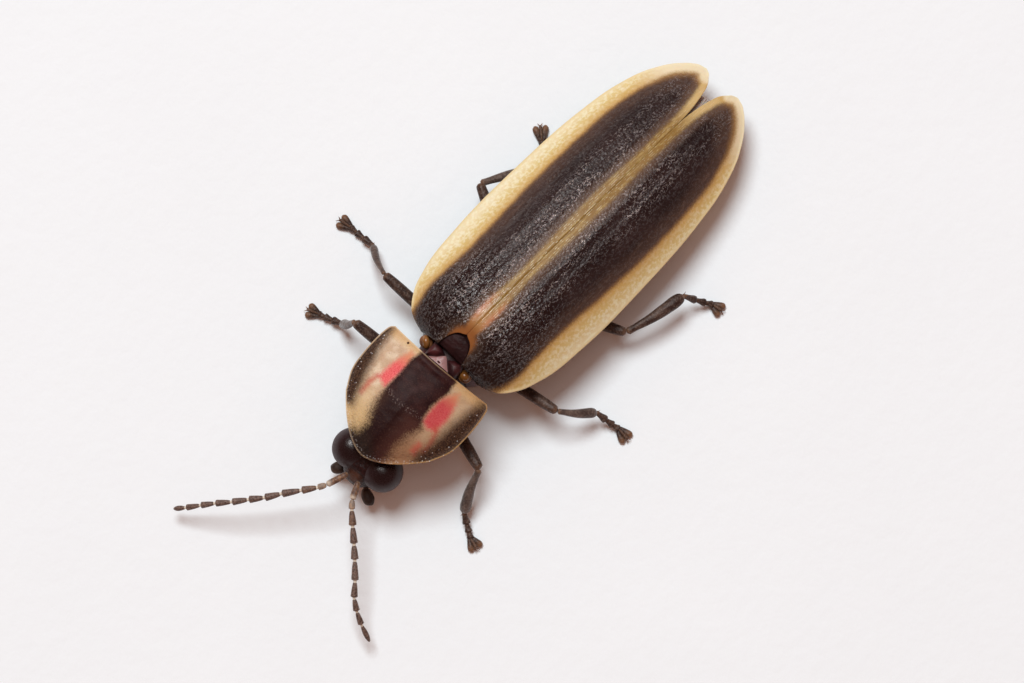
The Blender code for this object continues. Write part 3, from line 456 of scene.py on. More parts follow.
def plate(top, thickness):
    """Points and faces of a plate below a grid of top points; thickness is a number or a grid."""
    rows, columns = top.shape[:2]
    drop = np.zeros_like(top)
    drop[..., 2] = thickness
    points = np.concatenate([top.reshape(-1, 3), (top - drop).reshape(-1, 3)])
    below = rows * columns
    faces = []
    for i in range(rows - 1):
        for j in range(columns - 1):
            a, b = i * columns + j, i * columns + j + 1
            c, d = b + columns, a + columns
            faces += [(a, b, c, d), (below + a, below + d, below + c, below + b)]
    border = [j for j in range(columns)]
    border += [i * columns + columns - 1 for i in range(1, rows)]
    border += [(rows - 1) * columns + j for j in range(columns - 2, -1, -1)]
    border += [i * columns for i in range(rows - 2, 0, -1)]
    for a, b in zip(border, border[1:] + border[:1]):
        faces.append((a, below + a, below + b, b))
    return points, faces


def facing_out(obj):
    """Turns every face outwards, which a mirrored or a reversed grid needs."""
    bm = bmesh.new()
    bm.from_mesh(obj.data)
    bmesh.ops.recalc_face_normals(bm, faces=bm.faces)
    bm.to_mesh(obj.data)
    bm.free()


def edge_distance(points, line):
    """Distance in plan from each point to a polyline."""
    flat = points[:, None, :2]
    a, b = line[None, :-1, :2], line[None, 1:, :2]
    way = b - a
    t = np.clip(((flat - a) * way).sum(-1) / np.maximum((way**2).sum(-1), 1e-12), 0, 1)
    return np.linalg.norm(flat - a - way * t[..., None], axis=-1).min(1)


def inside(points, outline):
    """Distance in plan into a closed outline from each point, negative outside it."""
    line = np.array(outline, float)
    ends = np.roll(line, -1, axis=0)
    x, y = points[:, None, 0], points[:, None, 1]
    crosses = (line[:, 1] > y) != (ends[:, 1] > y)
    slope = (ends[:, 0] - line[:, 0]) / np.where(ends[:, 1] == line[:, 1], 1e-9, ends[:, 1] - line[:, 1])
    within = (crosses & (x < line[:, 0] + (y - line[:, 1]) * slope)).sum(1) % 2 == 1
    away = edge_distance(points, np.concatenate([line, line[:1]]))
    return np.where(within, away, -away)


def inside_any(points, outlines):
    return np.maximum.reduce([inside(points, outline) for outline in outlines])


# Finishes


class Wire:
    """A value between two steps of a finish, which can be reckoned with like a number."""

    def __init__(self, finish, socket):
        self.finish = finish
        self.socket = socket

    def __add__(self, other):
        return self.finish.math("ADD", self, other)

    def __sub__(self, other):
        return self.finish.math("SUBTRACT", self, other)

    def __rsub__(self, other):
        return self.finish.math("SUBTRACT", other, self)

    def __mul__(self, other):
        return self.finish.math("MULTIPLY", self, other)

    def __truediv__(self, other):
        return self.finish.math("DIVIDE", self, other)

    def __abs__(self):
        return self.finish.math("ABSOLUTE", self)


class Finish:
    """A procedural material, built from a few kinds of step. Lengths in it are in millimetres."""

    def __init__(self, name, **constants):
        self.material = bpy.data.materials.new(name)
        self.material.use_nodes = True
        self.tree = self.material.node_tree
        self.shader = self.tree.nodes["Principled BSDF"]
        self.place = self.node("TexCoord", "Object")
        self.set(**{"IOR": 1.45, "Specular_Tint": (1.0, 0.84, 0.80, 1.0), **constants})

    def put(self, socket, value):
        if isinstance(value, Wire):
            self.tree.links.new(value.socket, socket)
        else:
            socket.default_value = value

    def set(self, **sockets):
        for name, value in sockets.items():
            self.put(self.shader.inputs[name.replace("_", " ")], value)
        return self.material

    def node(self, kind, output, inputs=None, **settings):
        """Adds a node and gives the wire from one of its outputs."""
        made = self.tree.nodes.new("ShaderNode" + kind)
        for key, value in settings.items():
            setattr(made, key, value)
        for key, value in (inputs or {}).items():
            self.put(made.inputs[key], value)
        return Wire(self, made.outputs[output])

    def fields(self, *names):
        """Wires with the values that a piece holds at its points."""
        return [self.node("Attribute", "Fac", attribute_name=name) for name in names]

    def math(self, operation, first, second=0.0):
        return self.node("Math", 0, {0: first, 1: second}, operation=operation)

    def most(self, first, second):
        return self.math("MAXIMUM", first, second)

    def step(self, value, low, high, start=0.0, end=1.0):
        """A soft step from start to end as value goes from low to high."""
        inputs = {"Value": value, "From Min": low, "From Max": high, "To Min": start, "To Max": end}
        return self.node("MapRange", "Result", inputs, interpolation_type="SMOOTHSTEP")

    def mix(self, share, first, second):
        """A colour between two, each a wire or the red, green and blue that a screen shows."""
        first, second = (value if isinstance(value, Wire) else tint(*value) for value in (first, second))
        return self.node("Mix", 2, {0: share, 6: first, 7: second}, data_type="RGBA")

    def coats(self, colour, *coats):
        """A colour with others laid over it in turn, each given as (share, colour)."""
        for share, over in coats:
            colour = self.mix(share, colour, over)
        return colour

    def mapped(self, size, stretch):
        place = self.node("Mapping", "Vector", {"Vector": self.place, "Scale": stretch})
        return {"Vector": place, "Scale": 1 / (size * MM)}

    def noise(self, size, detail=3.0, stretch=(1, 1, 1), rough=0.55):
        inputs = {**self.mapped(size, stretch), "Detail": detail, "Roughness": rough}
        return self.node("TexNoise", "Fac", inputs)

    def cells(self, size, stretch=(1, 1, 1)):
        return self.node("TexVoronoi", "Distance", self.mapped(size, stretch))

    def bump(self, height, depth, strength):
        inputs = {"Height": height, "Distance": depth * MM, "Strength": strength}
        return self.node("Bump", "Normal", inputs)


def cover_finish():
    """Dark brown wing cover with a cream outer margin, a golden seam stripe and pale grey glints painted on
    its marks.
    """
    f = Finish("wing_cover_surface", Specular_IOR_Level=0.38, Subsurface_Weight=0.12, **UNDER_SURFACE)
    rim, margin, seam = f.fields("rim", "margin", "seam")
    along, across, painted_glint_share = f.fields("along", "across", "painted_glint_share")

    # The margin and the stripe have frayed borders.
    fuzz = f.noise(0.045, rough=0.65) * 0.12 - 0.06
    broad = f.noise(0.8, 2) * 0.08 - 0.04
    tip = f.step(along, 9.0, 10.3)
    margin = (margin + (fuzz + broad)) / (tip * 1.1 + 1.0)
    stripe = seam + (fuzz + broad * 0.4)
    in_margin = f.step(margin, -0.13, 0.07)
    in_stripe = f.step(stripe, -0.11, 0.07)
    pale = f.most(in_margin, in_stripe)

    # Painted highlights: pale grey glints lie on the marks along two ridges and fade towards both ends. Near
    # the front the left cover, turned from the light, gets fewer of them.
    marks = f.step(abs(f.noise(0.088, 2, (1, 0.5, 1), 0.7) - 0.5), 0.048, 0.012)
    marks = marks * f.step(f.noise(0.08, 2), 0.38, 0.54)
    front_part = f.step(along, 3.4, 1.8) * f.step(across, 2.0, 1.5)
    streaks = f.noise(0.07, 3, (1.0, 0.06, 1.0), 0.6)
    lanes = f.step(f.noise(0.24, 3, (1.0, 0.09, 1.0), 0.6), 0.42, 0.56)
    ridges = f.most(f.step(abs(across - 0.5), 0.34, 0.08), f.step(abs(across - 0.93), 0.16, 0.03))
    inner = f.step(across, 1.3, 0.9)
    painted_glints = inner * (ridges * 0.6 + 0.4) * (lanes * 0.75 + 0.25)
    painted_glints = f.most(painted_glints, front_part * f.step(lanes, 0.0, 1.0, 0.2, 0.5) * painted_glint_share)
    painted_glints = painted_glints * f.step(along, 0.4, 1.3, 0.12, 1.0) * f.step(along, 5.6, 9.2, 1.0, 0.4)
    painted_glints = (painted_glints * 0.94 + 0.05) * marks

    dark = f.coats(
        (28, 13, 14),
        (f.step(f.noise(1.1), 0.35, 0.7), (42, 25, 24)),
        (f.step(streaks, 0.45, 0.72) * f.step(margin, -0.6, -0.1) * 0.35, (104, 76, 62)),
        (f.step(margin, -0.5, -0.06) * f.step(along, 0.9, 2.4, 0.1, 0.36), (108, 80, 66)),
        (f.step(along, 1.3, 0.1) * f.step(across, 0.9, 1.75) * 0.5, (62, 30, 22)),
        (f.step(along, 2.2, 0.6, 0.0, 0.75), (18, 6, 6)),
        (f.step(stripe, -0.32, -0.06, 0.0, 0.5) * f.step(along, 0.7, 1.6, 0.3, 1.0), (124, 94, 76)),
        # Painted glints, pale grey, over the dark disc.
        (painted_glints * 0.85, (210, 192, 188)),
    )
    cream = f.coats(
        (202, 160, 92),
        (f.step(margin, 0.05, 0.34), (218, 188, 124)),
        (f.step(margin, 0.24, 0.6), (236, 214, 172)),
        (f.step(f.noise(0.11), 0.4, 0.66) * f.step(margin, 0.05, 0.4, 0.15, 0.6), (246, 235, 208)),
        (f.step(rim, 0.1, 0.02), (230, 204, 156)),
        (f.step(margin, 0.12, -0.04) * (1.0 - in_stripe), (176, 128, 72)),
        (tip * f.step(margin, -0.02, 0.08, 0.0, 0.85), (238, 220, 188)),
    )
    edged_cream = f.mix(f.most(f.step(margin, -0.14, 0.05), in_stripe), (92, 60, 46), cream)

    # The stripe is fibrous, pinker near the front and crossed by short pale strokes, which are painted
    # glints.
    pink = f.step(along, 0.85, 1.4) * f.step(along, 2.3, 1.7) * f.step(stripe, 0.22, 0.0)
    row = abs(f.math("FRACT", across * 19.0) - 0.5)
    painted_glint_dashes = f.step(row, 0.24, 0.08) * f.step(f.noise(0.05, 2, (0.6, 0.4, 0.6)), 0.5, 0.6)
    painted_glint_dashes = painted_glint_dashes * f.step(along, 0.9, 1.6) * f.step(along, 5.0, 7.5, 1.0, 0.45)
    straw = f.coats(
        (140, 104, 52),
        (f.step(streaks, 0.46, 0.66), (168, 136, 82)),
        (f.step(along, 2.0, 1.2), (168, 120, 70)),
        (f.step(along, 1.2, 0.75), (140, 84, 44)),
        (f.step(along, 8.8, 10.0), (206, 172, 118)),
        (pink * 0.65, (192, 106, 76)),
        # Painted glints in short pale strokes.
        (painted_glint_dashes * 0.6, (234, 220, 188)),
    )
    edged_straw = f.mix(f.step(stripe, -0.12, 0.09), (88, 62, 46), straw)

    fleck = f.step(f.cells(1.6), 0.028, 0.018) * pale
    shown = f.coats(dark, (in_stripe, edged_straw), (in_margin, edged_cream), (fleck, (206, 84, 52)))
    pebbles = f.cells(0.12, (1.0, 0.75, 1.0)) * (front_part * -1.6)
    relief = f.cells(0.075, (1.0, 0.8, 1.0)) * -0.7 + marks + pebbles
    rugged = (f.most(inner, front_part) * 0.6 + 0.2) * f.step(along, 0.3, 1.5, 0.45, 1.0)
    bump = f.bump(relief, 0.022, (1.0 - pale) * rugged + 0.12)
    rough = front_part * -0.22 + (marks * -0.12 + (pale * 0.02 + 0.4))
    return f.set(Base_Color=shown, Roughness=rough, Normal=bump)


def shield_finish():
    """Cream shield with a dark middle stripe, dark side bands, two pink-red bars and an amber hind edge,
    with painted shade on its left side and painted glints round its edge.
    """
    f = Finish("shield_surface", Specular_IOR_Level=0.13, Subsurface_Weight=0.15, **UNDER_SURFACE)
    rim, ahead, across = f.fields("rim", "ahead", "across")
    stripe, band, bar, streak, arc, dot = f.fields("stripe", "band", "bar", "streak", "arc", "dot")
    grain = f.noise(0.04, rough=0.65)
    fuzz = f.noise(0.045, rough=0.7) * 0.2 - 0.1
    broad = f.noise(0.6, 2) * 0.1 - 0.05
    fray = fuzz + broad
    # Painted shade: the shield's left side, turned from the light, takes darker cream, red and rim tones.
    painted_left_shade = f.step(across + broad, -0.5, 0.9)

    cream = f.coats(
        (199, 164, 136),
        (f.step(f.noise(0.35), 0.35, 0.7), (223, 197, 170)),
        (painted_left_shade * 0.6, (184, 146, 108)),
        (f.step(broad * 3.0 + ahead, 1.1, 2.5), f.mix(painted_left_shade, (206, 170, 124), (156, 114, 84))),
        (f.step(ahead, 0.28, 0.02) * 0.7, (212, 168, 116)),
        (f.step(grain, 0.48, 0.72) * 0.3, (150, 108, 78)),
    )
    red = f.coats(
        (214, 72, 78),
        (f.step(grain, 0.3, 0.7), (236, 118, 114)),
        (painted_left_shade * 0.6, (186, 70, 72)),
        (f.step(ahead, 0.8, 0.2), (212, 140, 104)),
    )
    side = f.mix(f.step(grain, 0.35, 0.7), (44, 26, 22), (96, 68, 50))

    # The middle stripe changes its tone towards the front, and its border frays more there.
    front = f.coats(
        (72, 46, 36),
        (f.step(across, -0.8, -0.25), (36, 14, 14)),
        (f.step(across, -0.05, 0.6), (72, 40, 34)),
        (f.step(ahead - across, 2.5, 3.1), (40, 28, 24)),
    )
    deep = f.coats(
        (38, 15, 16),
        (f.step(f.noise(0.3), 0.35, 0.7), (54, 27, 26)),
        (f.step(ahead + fray, 1.3, 1.7), front),
        (f.step(grain, 0.5, 0.8) * 0.22, (126, 92, 76)),
    )
    within = stripe + broad + fuzz * f.step(ahead, 1.2, 2.2, 0.8, 2.4)
    reach = f.step(ahead, 1.2, 2.2, -0.09, -0.26)

    # A pale line runs round the edge with painted glints scattered near it, and faint dots lie along an arc.
    dots = f.step(arc, 0.12, 0.02) * f.step(f.noise(0.045, 2), 0.54, 0.64)
    line = f.step(rim, 0.05, 0.015) * f.step(stripe, 0.05, -0.1, 0.3, 0.65)
    bead = f.step(rim, 0.17, 0.04) * f.step(ahead, 1.7, 2.5)
    # Painted glints: pale specks near the rim, in the side bands and on the front bead.
    few = f.step(f.cells(0.115), 0.2, 0.11) * f.step(rim, 0.46, 0.16)
    few = few * f.most(f.step(band, -0.3, 0.05), bead * 0.6)
    many = f.step(f.cells(0.065), 0.4, 0.16) * (bead * 0.55)
    shown = f.coats(
        cream,
        (f.step(bar + fray, -0.11, 0.1), red),
        (f.step(streak + fray, -0.12, 0.06) * 0.7, (192, 84, 70)),
        (f.step(fuzz + (band + broad), -0.28, 0.12), side),
        (f.step(within, reach, reach * -0.7), deep),
        (dots * 0.34, (160, 136, 128)),
        (f.step(dot, 0.045, 0.025), (60, 30, 20)),
        (line, f.mix(painted_left_shade, (226, 194, 160), (190, 146, 98))),
        (f.most(few, many) * 0.62, (218, 208, 204)),
    )
    near_rim = f.step(rim, 0.5, 0.12) * f.step(ahead, 0.3, 1.0)
    relief = f.step(f.cells(0.1), 0.25, 0.5) * (near_rim * 0.9 + 0.3) + grain
    bump = f.bump(relief, 0.022, near_rim * 0.4 + 0.2)
    return f.set(Base_Color=shown, Roughness=grain * 0.3 + 0.34, Normal=bump)


def shell_finish(name, dark, light, roughness=0.3, grain_size=0.07, depth=0.02, gloss=0.5):
    """Plain cuticle in two near tones, finely pitted."""
    f = Finish(name, IOR=1.5, Specular_IOR_Level=gloss)
    grain = f.noise(grain_size)
    tone = f.mix(f.step(f.noise(grain_size * 7), 0.35, 0.7), dark, light)
    bump = f.bump(f.cells(grain_size * 1.5) * 0.8 + grain, depth, 0.6)
    return f.set(Base_Color=tone, Roughness=grain * 0.2 + roughness, Normal=bump)


def eye_finish():
    """Black compound eye with a faint purple-brown sheen painted towards its rim, where it turns from the
    view, and fine facets.
    """
    f = Finish("eye_surface", Specular_IOR_Level=0.42)
    facing = f.node("LayerWeight", "Facing", {"Blend": 0.32})
    grain = f.noise(0.045)
    # Painted sheen: the tone turns purple-brown where the eye turns away from the view.
    tone = f.coats((22, 8, 10), (facing, (68, 44, 48)), (f.step(grain, 0.5, 0.75) * 0.15, (64, 42, 44)))
    rough = facing * 0.45 + (f.step(grain, 0.35, 0.65) * 0.12 + 0.2)
    return f.set(Base_Color=tone, Roughness=rough, Normal=f.bump(grain + f.cells(0.03), 0.0025, 0.8))


def head_finish():
    """Dark red-brown head, amber between the feelers, finely pitted."""
    f = Finish("head_surface", Specular_IOR_Level=0.3)
    face = f.fields("face")[0] + (f.noise(0.12) * 0.5 - 0.25)
    grain = f.noise(0.05)
    amber = f.step(face, 0.4, 1.0, 0.0, 0.8)
    tone = f.coats((22, 6, 7), (f.step(grain, 0.35, 0.7), (44, 16, 15)), (amber, (88, 50, 32)))
    rough = face * 0.25 + (grain * 0.25 + 0.24)
    return f.set(Base_Color=tone, Roughness=rough, Normal=f.bump(f.cells(0.09) * 0.9 + grain, 0.02, 0.8))


def feeler_finish():
    """Dull dark brown with a pale ring at each joint, warmer towards the face."""
    f = Finish("feeler_surface", Sheen_Weight=0.15)
    ring, root = f.fields("ring", "root")
    grain = f.noise(0.05)
    warm = f.mix(f.step(f.noise(0.09), 0.4, 0.6), (78, 44, 28), (152, 104, 66))
    shown = f.coats(
        (58, 38, 32),
        (f.step(grain, 0.3, 0.7), (122, 94, 82)),
        (root * 0.8, warm),
        (ring, (216, 198, 180)),
    )
    return f.set(Base_Color=shown, Roughness=grain * 0.2 + 0.32, Normal=f.bump(grain, 0.025, 0.8))


def leg_finish(name, dark, light, sheen):
    """Brown leg under fine grey down, amber at its joints."""
    f = Finish(name, Sheen_Weight=sheen, Sheen_Roughness=0.45, Specular_IOR_Level=0.34)
    grain = f.noise(0.05)
    shown = f.coats(
        dark,
        (f.step(f.noise(0.3), 0.35, 0.7), light),
        (f.step(grain, 0.45, 0.75, 0.0, 0.35), (150, 126, 112)),
        (f.fields("joint")[0] * 0.6, (138, 96, 68)),
    )
    bump = f.bump(f.cells(0.07) * 0.7 + grain, 0.016, 0.8)
    return f.set(Base_Color=shown, Roughness=grain * 0.25 + 0.3, Normal=bump)


def membrane_finish(name, dark, light, roughness=0.35):
    """Thin wrinkled skin."""
    f = Finish(name, Subsurface_Weight=0.15, Subsurface_Scale=0.1 * MM)
    folds = f.noise(0.16, 4, (1.0, 0.4, 1.0))
    return f.set(Base_Color=f.mix(folds, dark, light), Roughness=roughness, Normal=f.bump(folds, 0.05, 0.7))


def floor_finish():
    """White floor with a faint tooth."""
    f = Finish("floor_surface", Roughness=0.75, IOR=1.3, Specular_IOR_Level=0.1)
    tone = f.mix(f.noise(6.0), (240, 238, 240), (244, 242, 244))
    return f.set(Base_Color=tone, Normal=f.bump(f.noise(0.45, 5), 0.06, 0.35))


# Wing covers and folded wings


def cover_half_width(along):
    return curve(COVER_OUTLINE, along)


def scutellum_half_width(y):
    part = np.clip((y - SCUTELLUM_FRONT_Y) / (SCUTELLUM_TIP_Y - SCUTELLUM_FRONT_Y), 0, 1)
    return SCUTELLUM_HALF_WIDTH * (1 - 0.30 * part) * np.sqrt(np.maximum(0, 1 - part**4))


def cover_inner_edge(along):
    """The inner edge of a cover: round the scutellum, along the seam, then away from it at the tip."""
    y = COVER_FRONT_Y + along
    notch = np.maximum(0.001, scutellum_half_width(y) + 0.002)
    return np.where(y < SCUTELLUM_TIP_Y + 0.04, notch, 0.001) + curve(COVER_GAPE, along)


def cover_top(x, along):
    """Height of the covers' outer surface."""
    share = np.minimum(1.0, np.abs(x) / cover_half_width(along))
    tail = np.maximum(0.0, along - MARGIN_LIFT_START) / (COVER_LENGTH - MARGIN_LIFT_START)
    margin = MARGIN_Z + SHOULDER_LIFT * bell(along / 1.3) + 0.10 * tail**2
    rise = SUTURE_Z - margin - BASE_DROP * bell(along / 0.75)
    tail = np.maximum(0.0, along - SLOPE_START) / (COVER_LENGTH - SLOPE_START)
    rise = rise * np.maximum(0.0, 1 - tail**2.6) ** 0.75
    dome = np.maximum(0.0, 1 - share**DOME_FLATNESS) ** DOME_FLARE
    body = np.sin(np.pi * np.clip(along / COVER_LENGTH, 0, 1)) ** 0.5
    ridges = sum(height * bell((share - place) / 0.035) for place, height in COSTAE)
    return margin + rise * dome + ridges * body


def wing_cover(side, finish):
    rows, columns = 190, 64
    along = COVER_LENGTH * (0.5 - 0.5 * np.cos(np.linspace(0, np.pi, rows)))
    share = np.linspace(0, 1, columns) ** 0.9
    inner, outer = cover_inner_edge(along), cover_half_width(along)
    x = inner[:, None] + (outer - inner)[:, None] * share
    reach = np.broadcast_to(along[:, None], x.shape)
    top = grid(side * x, COVER_FRONT_Y + along, cover_top(x, reach))
    flat = top.reshape(-1, 3)
    outer_line, inner_line = top[:, -1], top[:, 0]
    rim = edge_distance(flat, np.concatenate([outer_line, inner_line[:-14:-1]]))
    seam = edge_distance(flat, inner_line)
    edge = np.minimum(rim, seam)
    waves = lumps(flat, 1.1, 3) * 0.012 + lumps(flat, 0.35, 5) * 0.004
    lips = 0.022 * bell(rim / 0.05) + 0.006 * bell(seam / 0.04)
    flat = flat.copy()
    flat[:, 2] += waves * np.clip(edge / 0.25, 0, 1) + lips
    thick = COVER_EDGE + (PLATE - COVER_EDGE) * np.clip(edge.reshape(rows, columns) / 0.3, 0, 1)
    thick[:, -1] = thick[:, 0] = COVER_EDGE
    points, faces = plate(flat.reshape(top.shape), thick)
    steps = reach.ravel()
    width = curve(MARGIN_WIDTH, steps) - (curve(LEFT_MARGIN_LESS, steps) if side > 0 else 0.0)
    fields = {
        "rim": rim,
        "margin": width - rim,
        "seam": curve(STRIPE_WIDTH, steps) - seam,
        "along": steps,
        "across": x.ravel(),
        # The left cover, turned from the light, gets a smaller share of painted glints near its front.
        "painted_glint_share": 0.4 if side > 0 else 1.0,
    }
    word, points = SIDES[side], on_hindbody(points)
    facing_out(piece(f"wing_cover_{word}", points, faces, finish, [f"elytron_{word}"], "wing_cover", fields))


def folded_wing(side, finish):
    """A folded hind wing under its cover, with raised veins and a crumpled tip that shows at the gape."""
    rows, columns = 90, 26
    part = np.linspace(0, 1, rows)
    along = WING_START + (WING_END - WING_START) * part
    outer = 0.60 * cover_half_width(along) * (1 - 0.78 * np.clip((part - 0.7) / 0.3, 0, 1) ** 4)
    share = np.linspace(0, 1, columns)
    x = -0.05 + (outer[:, None] + 0.05) * share
    z = cover_top(np.maximum(x, 0), np.broadcast_to(along[:, None], x.shape)) - WING_DEPTH
    veins = sum(bell((share - place) / 0.03) for place in WING_VEINS)
    folds = 0.03 * np.sin(share * 26 + np.sin(along * 1.7)[:, None] * 2)
    z = z + 0.03 * veins + folds * np.clip((part - 0.55) * 3, 0, 1)[:, None]
    z = z - 0.10 * (side < 0)
    points, faces = plate(grid(side * x, COVER_FRONT_Y + along, z), 0.05)
    word, points = SIDES[side], on_hindbody(points)
    facing_out(piece(f"folded_wing_{word}", points, faces, finish, [f"hindwing_{word}"], "wing_membrane"))


# Shield behind the eyes


def shield_surface(u, v):
    """A point of the shield's top: u runs across from -1 to 1, v from the base to the front edge."""
    sides = np.linspace(0, 1, len(SHIELD_SIDE))
    half, side_y = (curve(list(zip(sides, values)), v) for values in zip(*SHIELD_SIDE))
    ahead = side_y + (SHIELD_LENGTH * v - side_y) * (1 - np.abs(u) ** SHIELD_FRONT_POWER)
    back = 1 - 0.18 * (1 - np.minimum(v, 0.3) / 0.3) ** 2
    front = np.maximum(0.0, 1 - (np.maximum(v - 0.3, 0) / 0.7) ** 2) ** 0.8
    fullness = np.where(v < 0.3, back, front)
    z = SHIELD_EDGE_Z + SHIELD_FRONT_LIFT * v**2 * (1 - 0.6 * u**2)
    z = z + SHIELD_RISE * fullness * np.maximum(0.0, 1 - np.abs(u) ** 2.2) ** 1.3
    return np.stack([u * half, -ahead, z], axis=-1)


def shield(finish):
    rows, columns = 150, 201
    u, v = np.meshgrid(np.linspace(-1, 1, columns), np.linspace(0, 1, rows))
    u = np.sign(u) * np.abs(u) ** 0.85
    top = shield_surface(u, v)
    border = np.concatenate([top[:, 0], top[-1], top[::-1, -1], top[0, ::-1]])
    flat = top.reshape(-1, 3)
    rim = edge_distance(flat, border)
    x, ahead = np.abs(flat[:, 0]), -flat[:, 1]
    keel = 0.025 * bell(x / 0.10) * np.clip(ahead - 0.8, 0, 1)
    keel -= 0.04 * bell(x / 0.35) * bell((ahead - 0.5) / 0.4)
    hollow = -0.05 * bell((x - 0.95) / 0.28) * bell((ahead - 0.9) / 0.8)
    bead = 0.035 * bell(rim / 0.05) - 0.03 * bell((rim - 0.16) / 0.08)
    fade = np.clip(rim / 0.3, 0, 1)
    flat[:, 2] += keel + hollow + bead + fade * (lumps(flat, 0.8, 7) * 0.010 + lumps(flat, 0.25, 8) * 0.004)
    top = flat.reshape(top.shape)
    thick = (0.03 + 0.08 * np.clip(rim / 0.3, 0, 1)).reshape(rows, columns)
    points, faces = plate(top, thick)
    plan = np.column_stack([flat[:, 0], ahead])
    fields = {
        "rim": rim,
        "ahead": ahead,
        "across": flat[:, 0],
        "stripe": inside(plan, SHIELD_STRIPE),
        "band": inside_any(plan, SHIELD_BANDS),
        "bar": inside_any(plan, SHIELD_BARS),
        "streak": inside_any(plan, SHIELD_STREAKS),
        "arc": edge_distance(plan, np.array(SHIELD_ARC)),
        "dot": np.hypot(plan[:, 0] - SHIELD_DOT[0], plan[:, 1] - SHIELD_DOT[1]),
    }
    facing_out(piece("shield", on_forebody(points), faces, finish, ["pronotum"], "shield", fields))


# Trunk and abdomen


def body_rings(stations, count, ceiling=None, sides=48, power=2.3):
    """Points and faces of an upright-ringed body through (y, half-width, underside, top) stations."""
    stations = sorted(stations)
    y = np.linspace(stations[0][0], stations[-1][0], count)
    half, low, high = (curve([(s[0], s[k]) for s in stations], y)[:, None] for k in (1, 2, 3))
    c, s = loop(sides, power)
    points = grid(half * c, y, (low + high) / 2 + (high - low) / 2 * s).reshape(-1, 3)
    if ceiling is not None:
        press_down(points, ceiling)
    return points, tube_faces(count, sides)


def press_down(points, ceiling, gap=0.0):
    """Lowers the points that stand higher than a ceiling."""
    points[:, 2] = np.minimum(points[:, 2], ceiling(points[:, 0], points[:, 1]) + gap)


def under_wings(x, y):
    along = np.clip(y - COVER_FRONT_Y, 1.2, COVER_LENGTH)
    return cover_top(x, along) - ABDOMEN_DEPTH


def under_sloping_wings(x, y):
    return under_wings(x, y) - np.maximum(0.0, y) * math.tan(HINDBODY_PITCH)


def under_covers(x, y):
    along = np.maximum(0.0, y - COVER_FRONT_Y)
    return np.where(y < COVER_FRONT_Y - 0.05, 3.0, cover_top(x, along) - TRUNK_DEPTH)


def sternal(points, groove=0.05, middle_width=0.05):
    """Sinks a groove along the middle of the underside and lets the plates swell beside it."""
    points = points.copy()
    below = points[:, 2] < points[:, 2].mean()
    points[:, 2] += below * groove * bell(points[:, 0] / middle_width)
    points[:, 2] += below * 0.02 * lumps(points, 0.6, 4)
    return points


def trunk(dark, red):
    """Three parts, folds before and behind the middle one, and a plate below the front of the covers."""
    points, faces = body_rings(FOREBODY, 40)
    piece("forebody", on_forebody(sternal(points)), faces, dark, ["prothorax"])
    points, faces = body_rings(MIDBODY, 26, under_covers)
    piece("midbody", sternal(points), faces, red, ["mesothorax"])
    piece("front_fold", *body_rings(FRONT_FOLD, 12), red)
    piece("middle_fold", *body_rings(MIDDLE_FOLD, 12, under_covers), dark)
    points, faces = dome((0, -0.30, 2.30), (1.00, 0.48, 0.90), 40, 24)
    press_down(points, under_covers, 0.07)
    piece("back_plate", points, faces, dark)
    points, faces = body_rings(HINDBODY, 50, under_sloping_wings)
    piece("hindbody", sternal(points, 0.06, 0.04), faces, dark, ["metathorax"])


def abdomen(plain, lamp):
    """Seven ringed segments. Each hind edge stands a little proud, and a soft fold joins it to the next."""
    rows, sides = 16, 56
    span = ABDOMEN_END_Y - ABDOMEN_START_Y
    ends = [ABDOMEN_START_Y + span * (k / ABDOMEN_SEGMENTS) ** 0.95 for k in range(ABDOMEN_SEGMENTS + 1)]
    t = np.linspace(0, 1, rows)
    flare = 0.035 * t**3 - 0.05 * (1 - np.clip(t / 0.15, 0, 1)) ** 2
    flare = flare - 0.07 * np.clip((t - 0.93) / 0.07, 0, 1) ** 2
    c, s = loop(sides)
    pleat = 1 - 0.05 * bell(np.abs(s) / 0.16)
    for k in range(ABDOMEN_SEGMENTS):
        y = ends[k] - 0.02 + (ends[k + 1] - ends[k] + 0.06) * t
        part = np.clip((y - ABDOMEN_START_Y) / span, 0, 1)
        half = 1.72 * (1 - 0.12 * (1 - part) ** 3) * np.maximum(0, 1 - part**3.6) ** 0.6
        low, high = 0.72 + 0.30 * part**2 - flare, 1.92 - 0.42 * part**2 + flare
        half = np.maximum(0.30 if k == ABDOMEN_SEGMENTS - 1 else 0.36, half + flare)
        z = ((low + high) / 2)[:, None] + ((high - low) / 2)[:, None] * s
        points, faces = grid(half[:, None] * c * pleat, y, z).reshape(-1, 3), tube_faces(rows, sides)
        press_down(points, under_wings)
        points[:, 2] += 0.008 * lumps(points, 0.5, k)
        finish, slot = (lamp, "lantern") if k in LANTERN_SEGMENTS else (plain, "belly")
        piece(f"segment_{k + 1}", on_hindbody(points), faces, finish, [f"abdomen_{k + 1}"], slot)


def scutellum(finish):
    rows, columns = 26, 23
    part = np.linspace(0, 1, rows)[:, None]
    y = SCUTELLUM_FRONT_Y + (SCUTELLUM_TIP_Y - SCUTELLUM_FRONT_Y) * part[:, 0] ** 0.8
    half = np.maximum(0.03, scutellum_half_width(y)) + 0.025
    share = np.linspace(-1, 1, columns)
    x = half[:, None] * share
    z = SCUTELLUM_TOP_Z - 0.05 * share**2 - 0.10 * (1 - part) ** 2 + 0.04 * part - 0.05 * bell(part / 0.1)
    z = z + 0.006 * lumps(grid(x, y, z).reshape(-1, 3), 0.2, 6).reshape(z.shape)
    facing_out(piece("scutellum_shield", *plate(grid(x, y, z), 0.25), finish, ["scutellum"]))


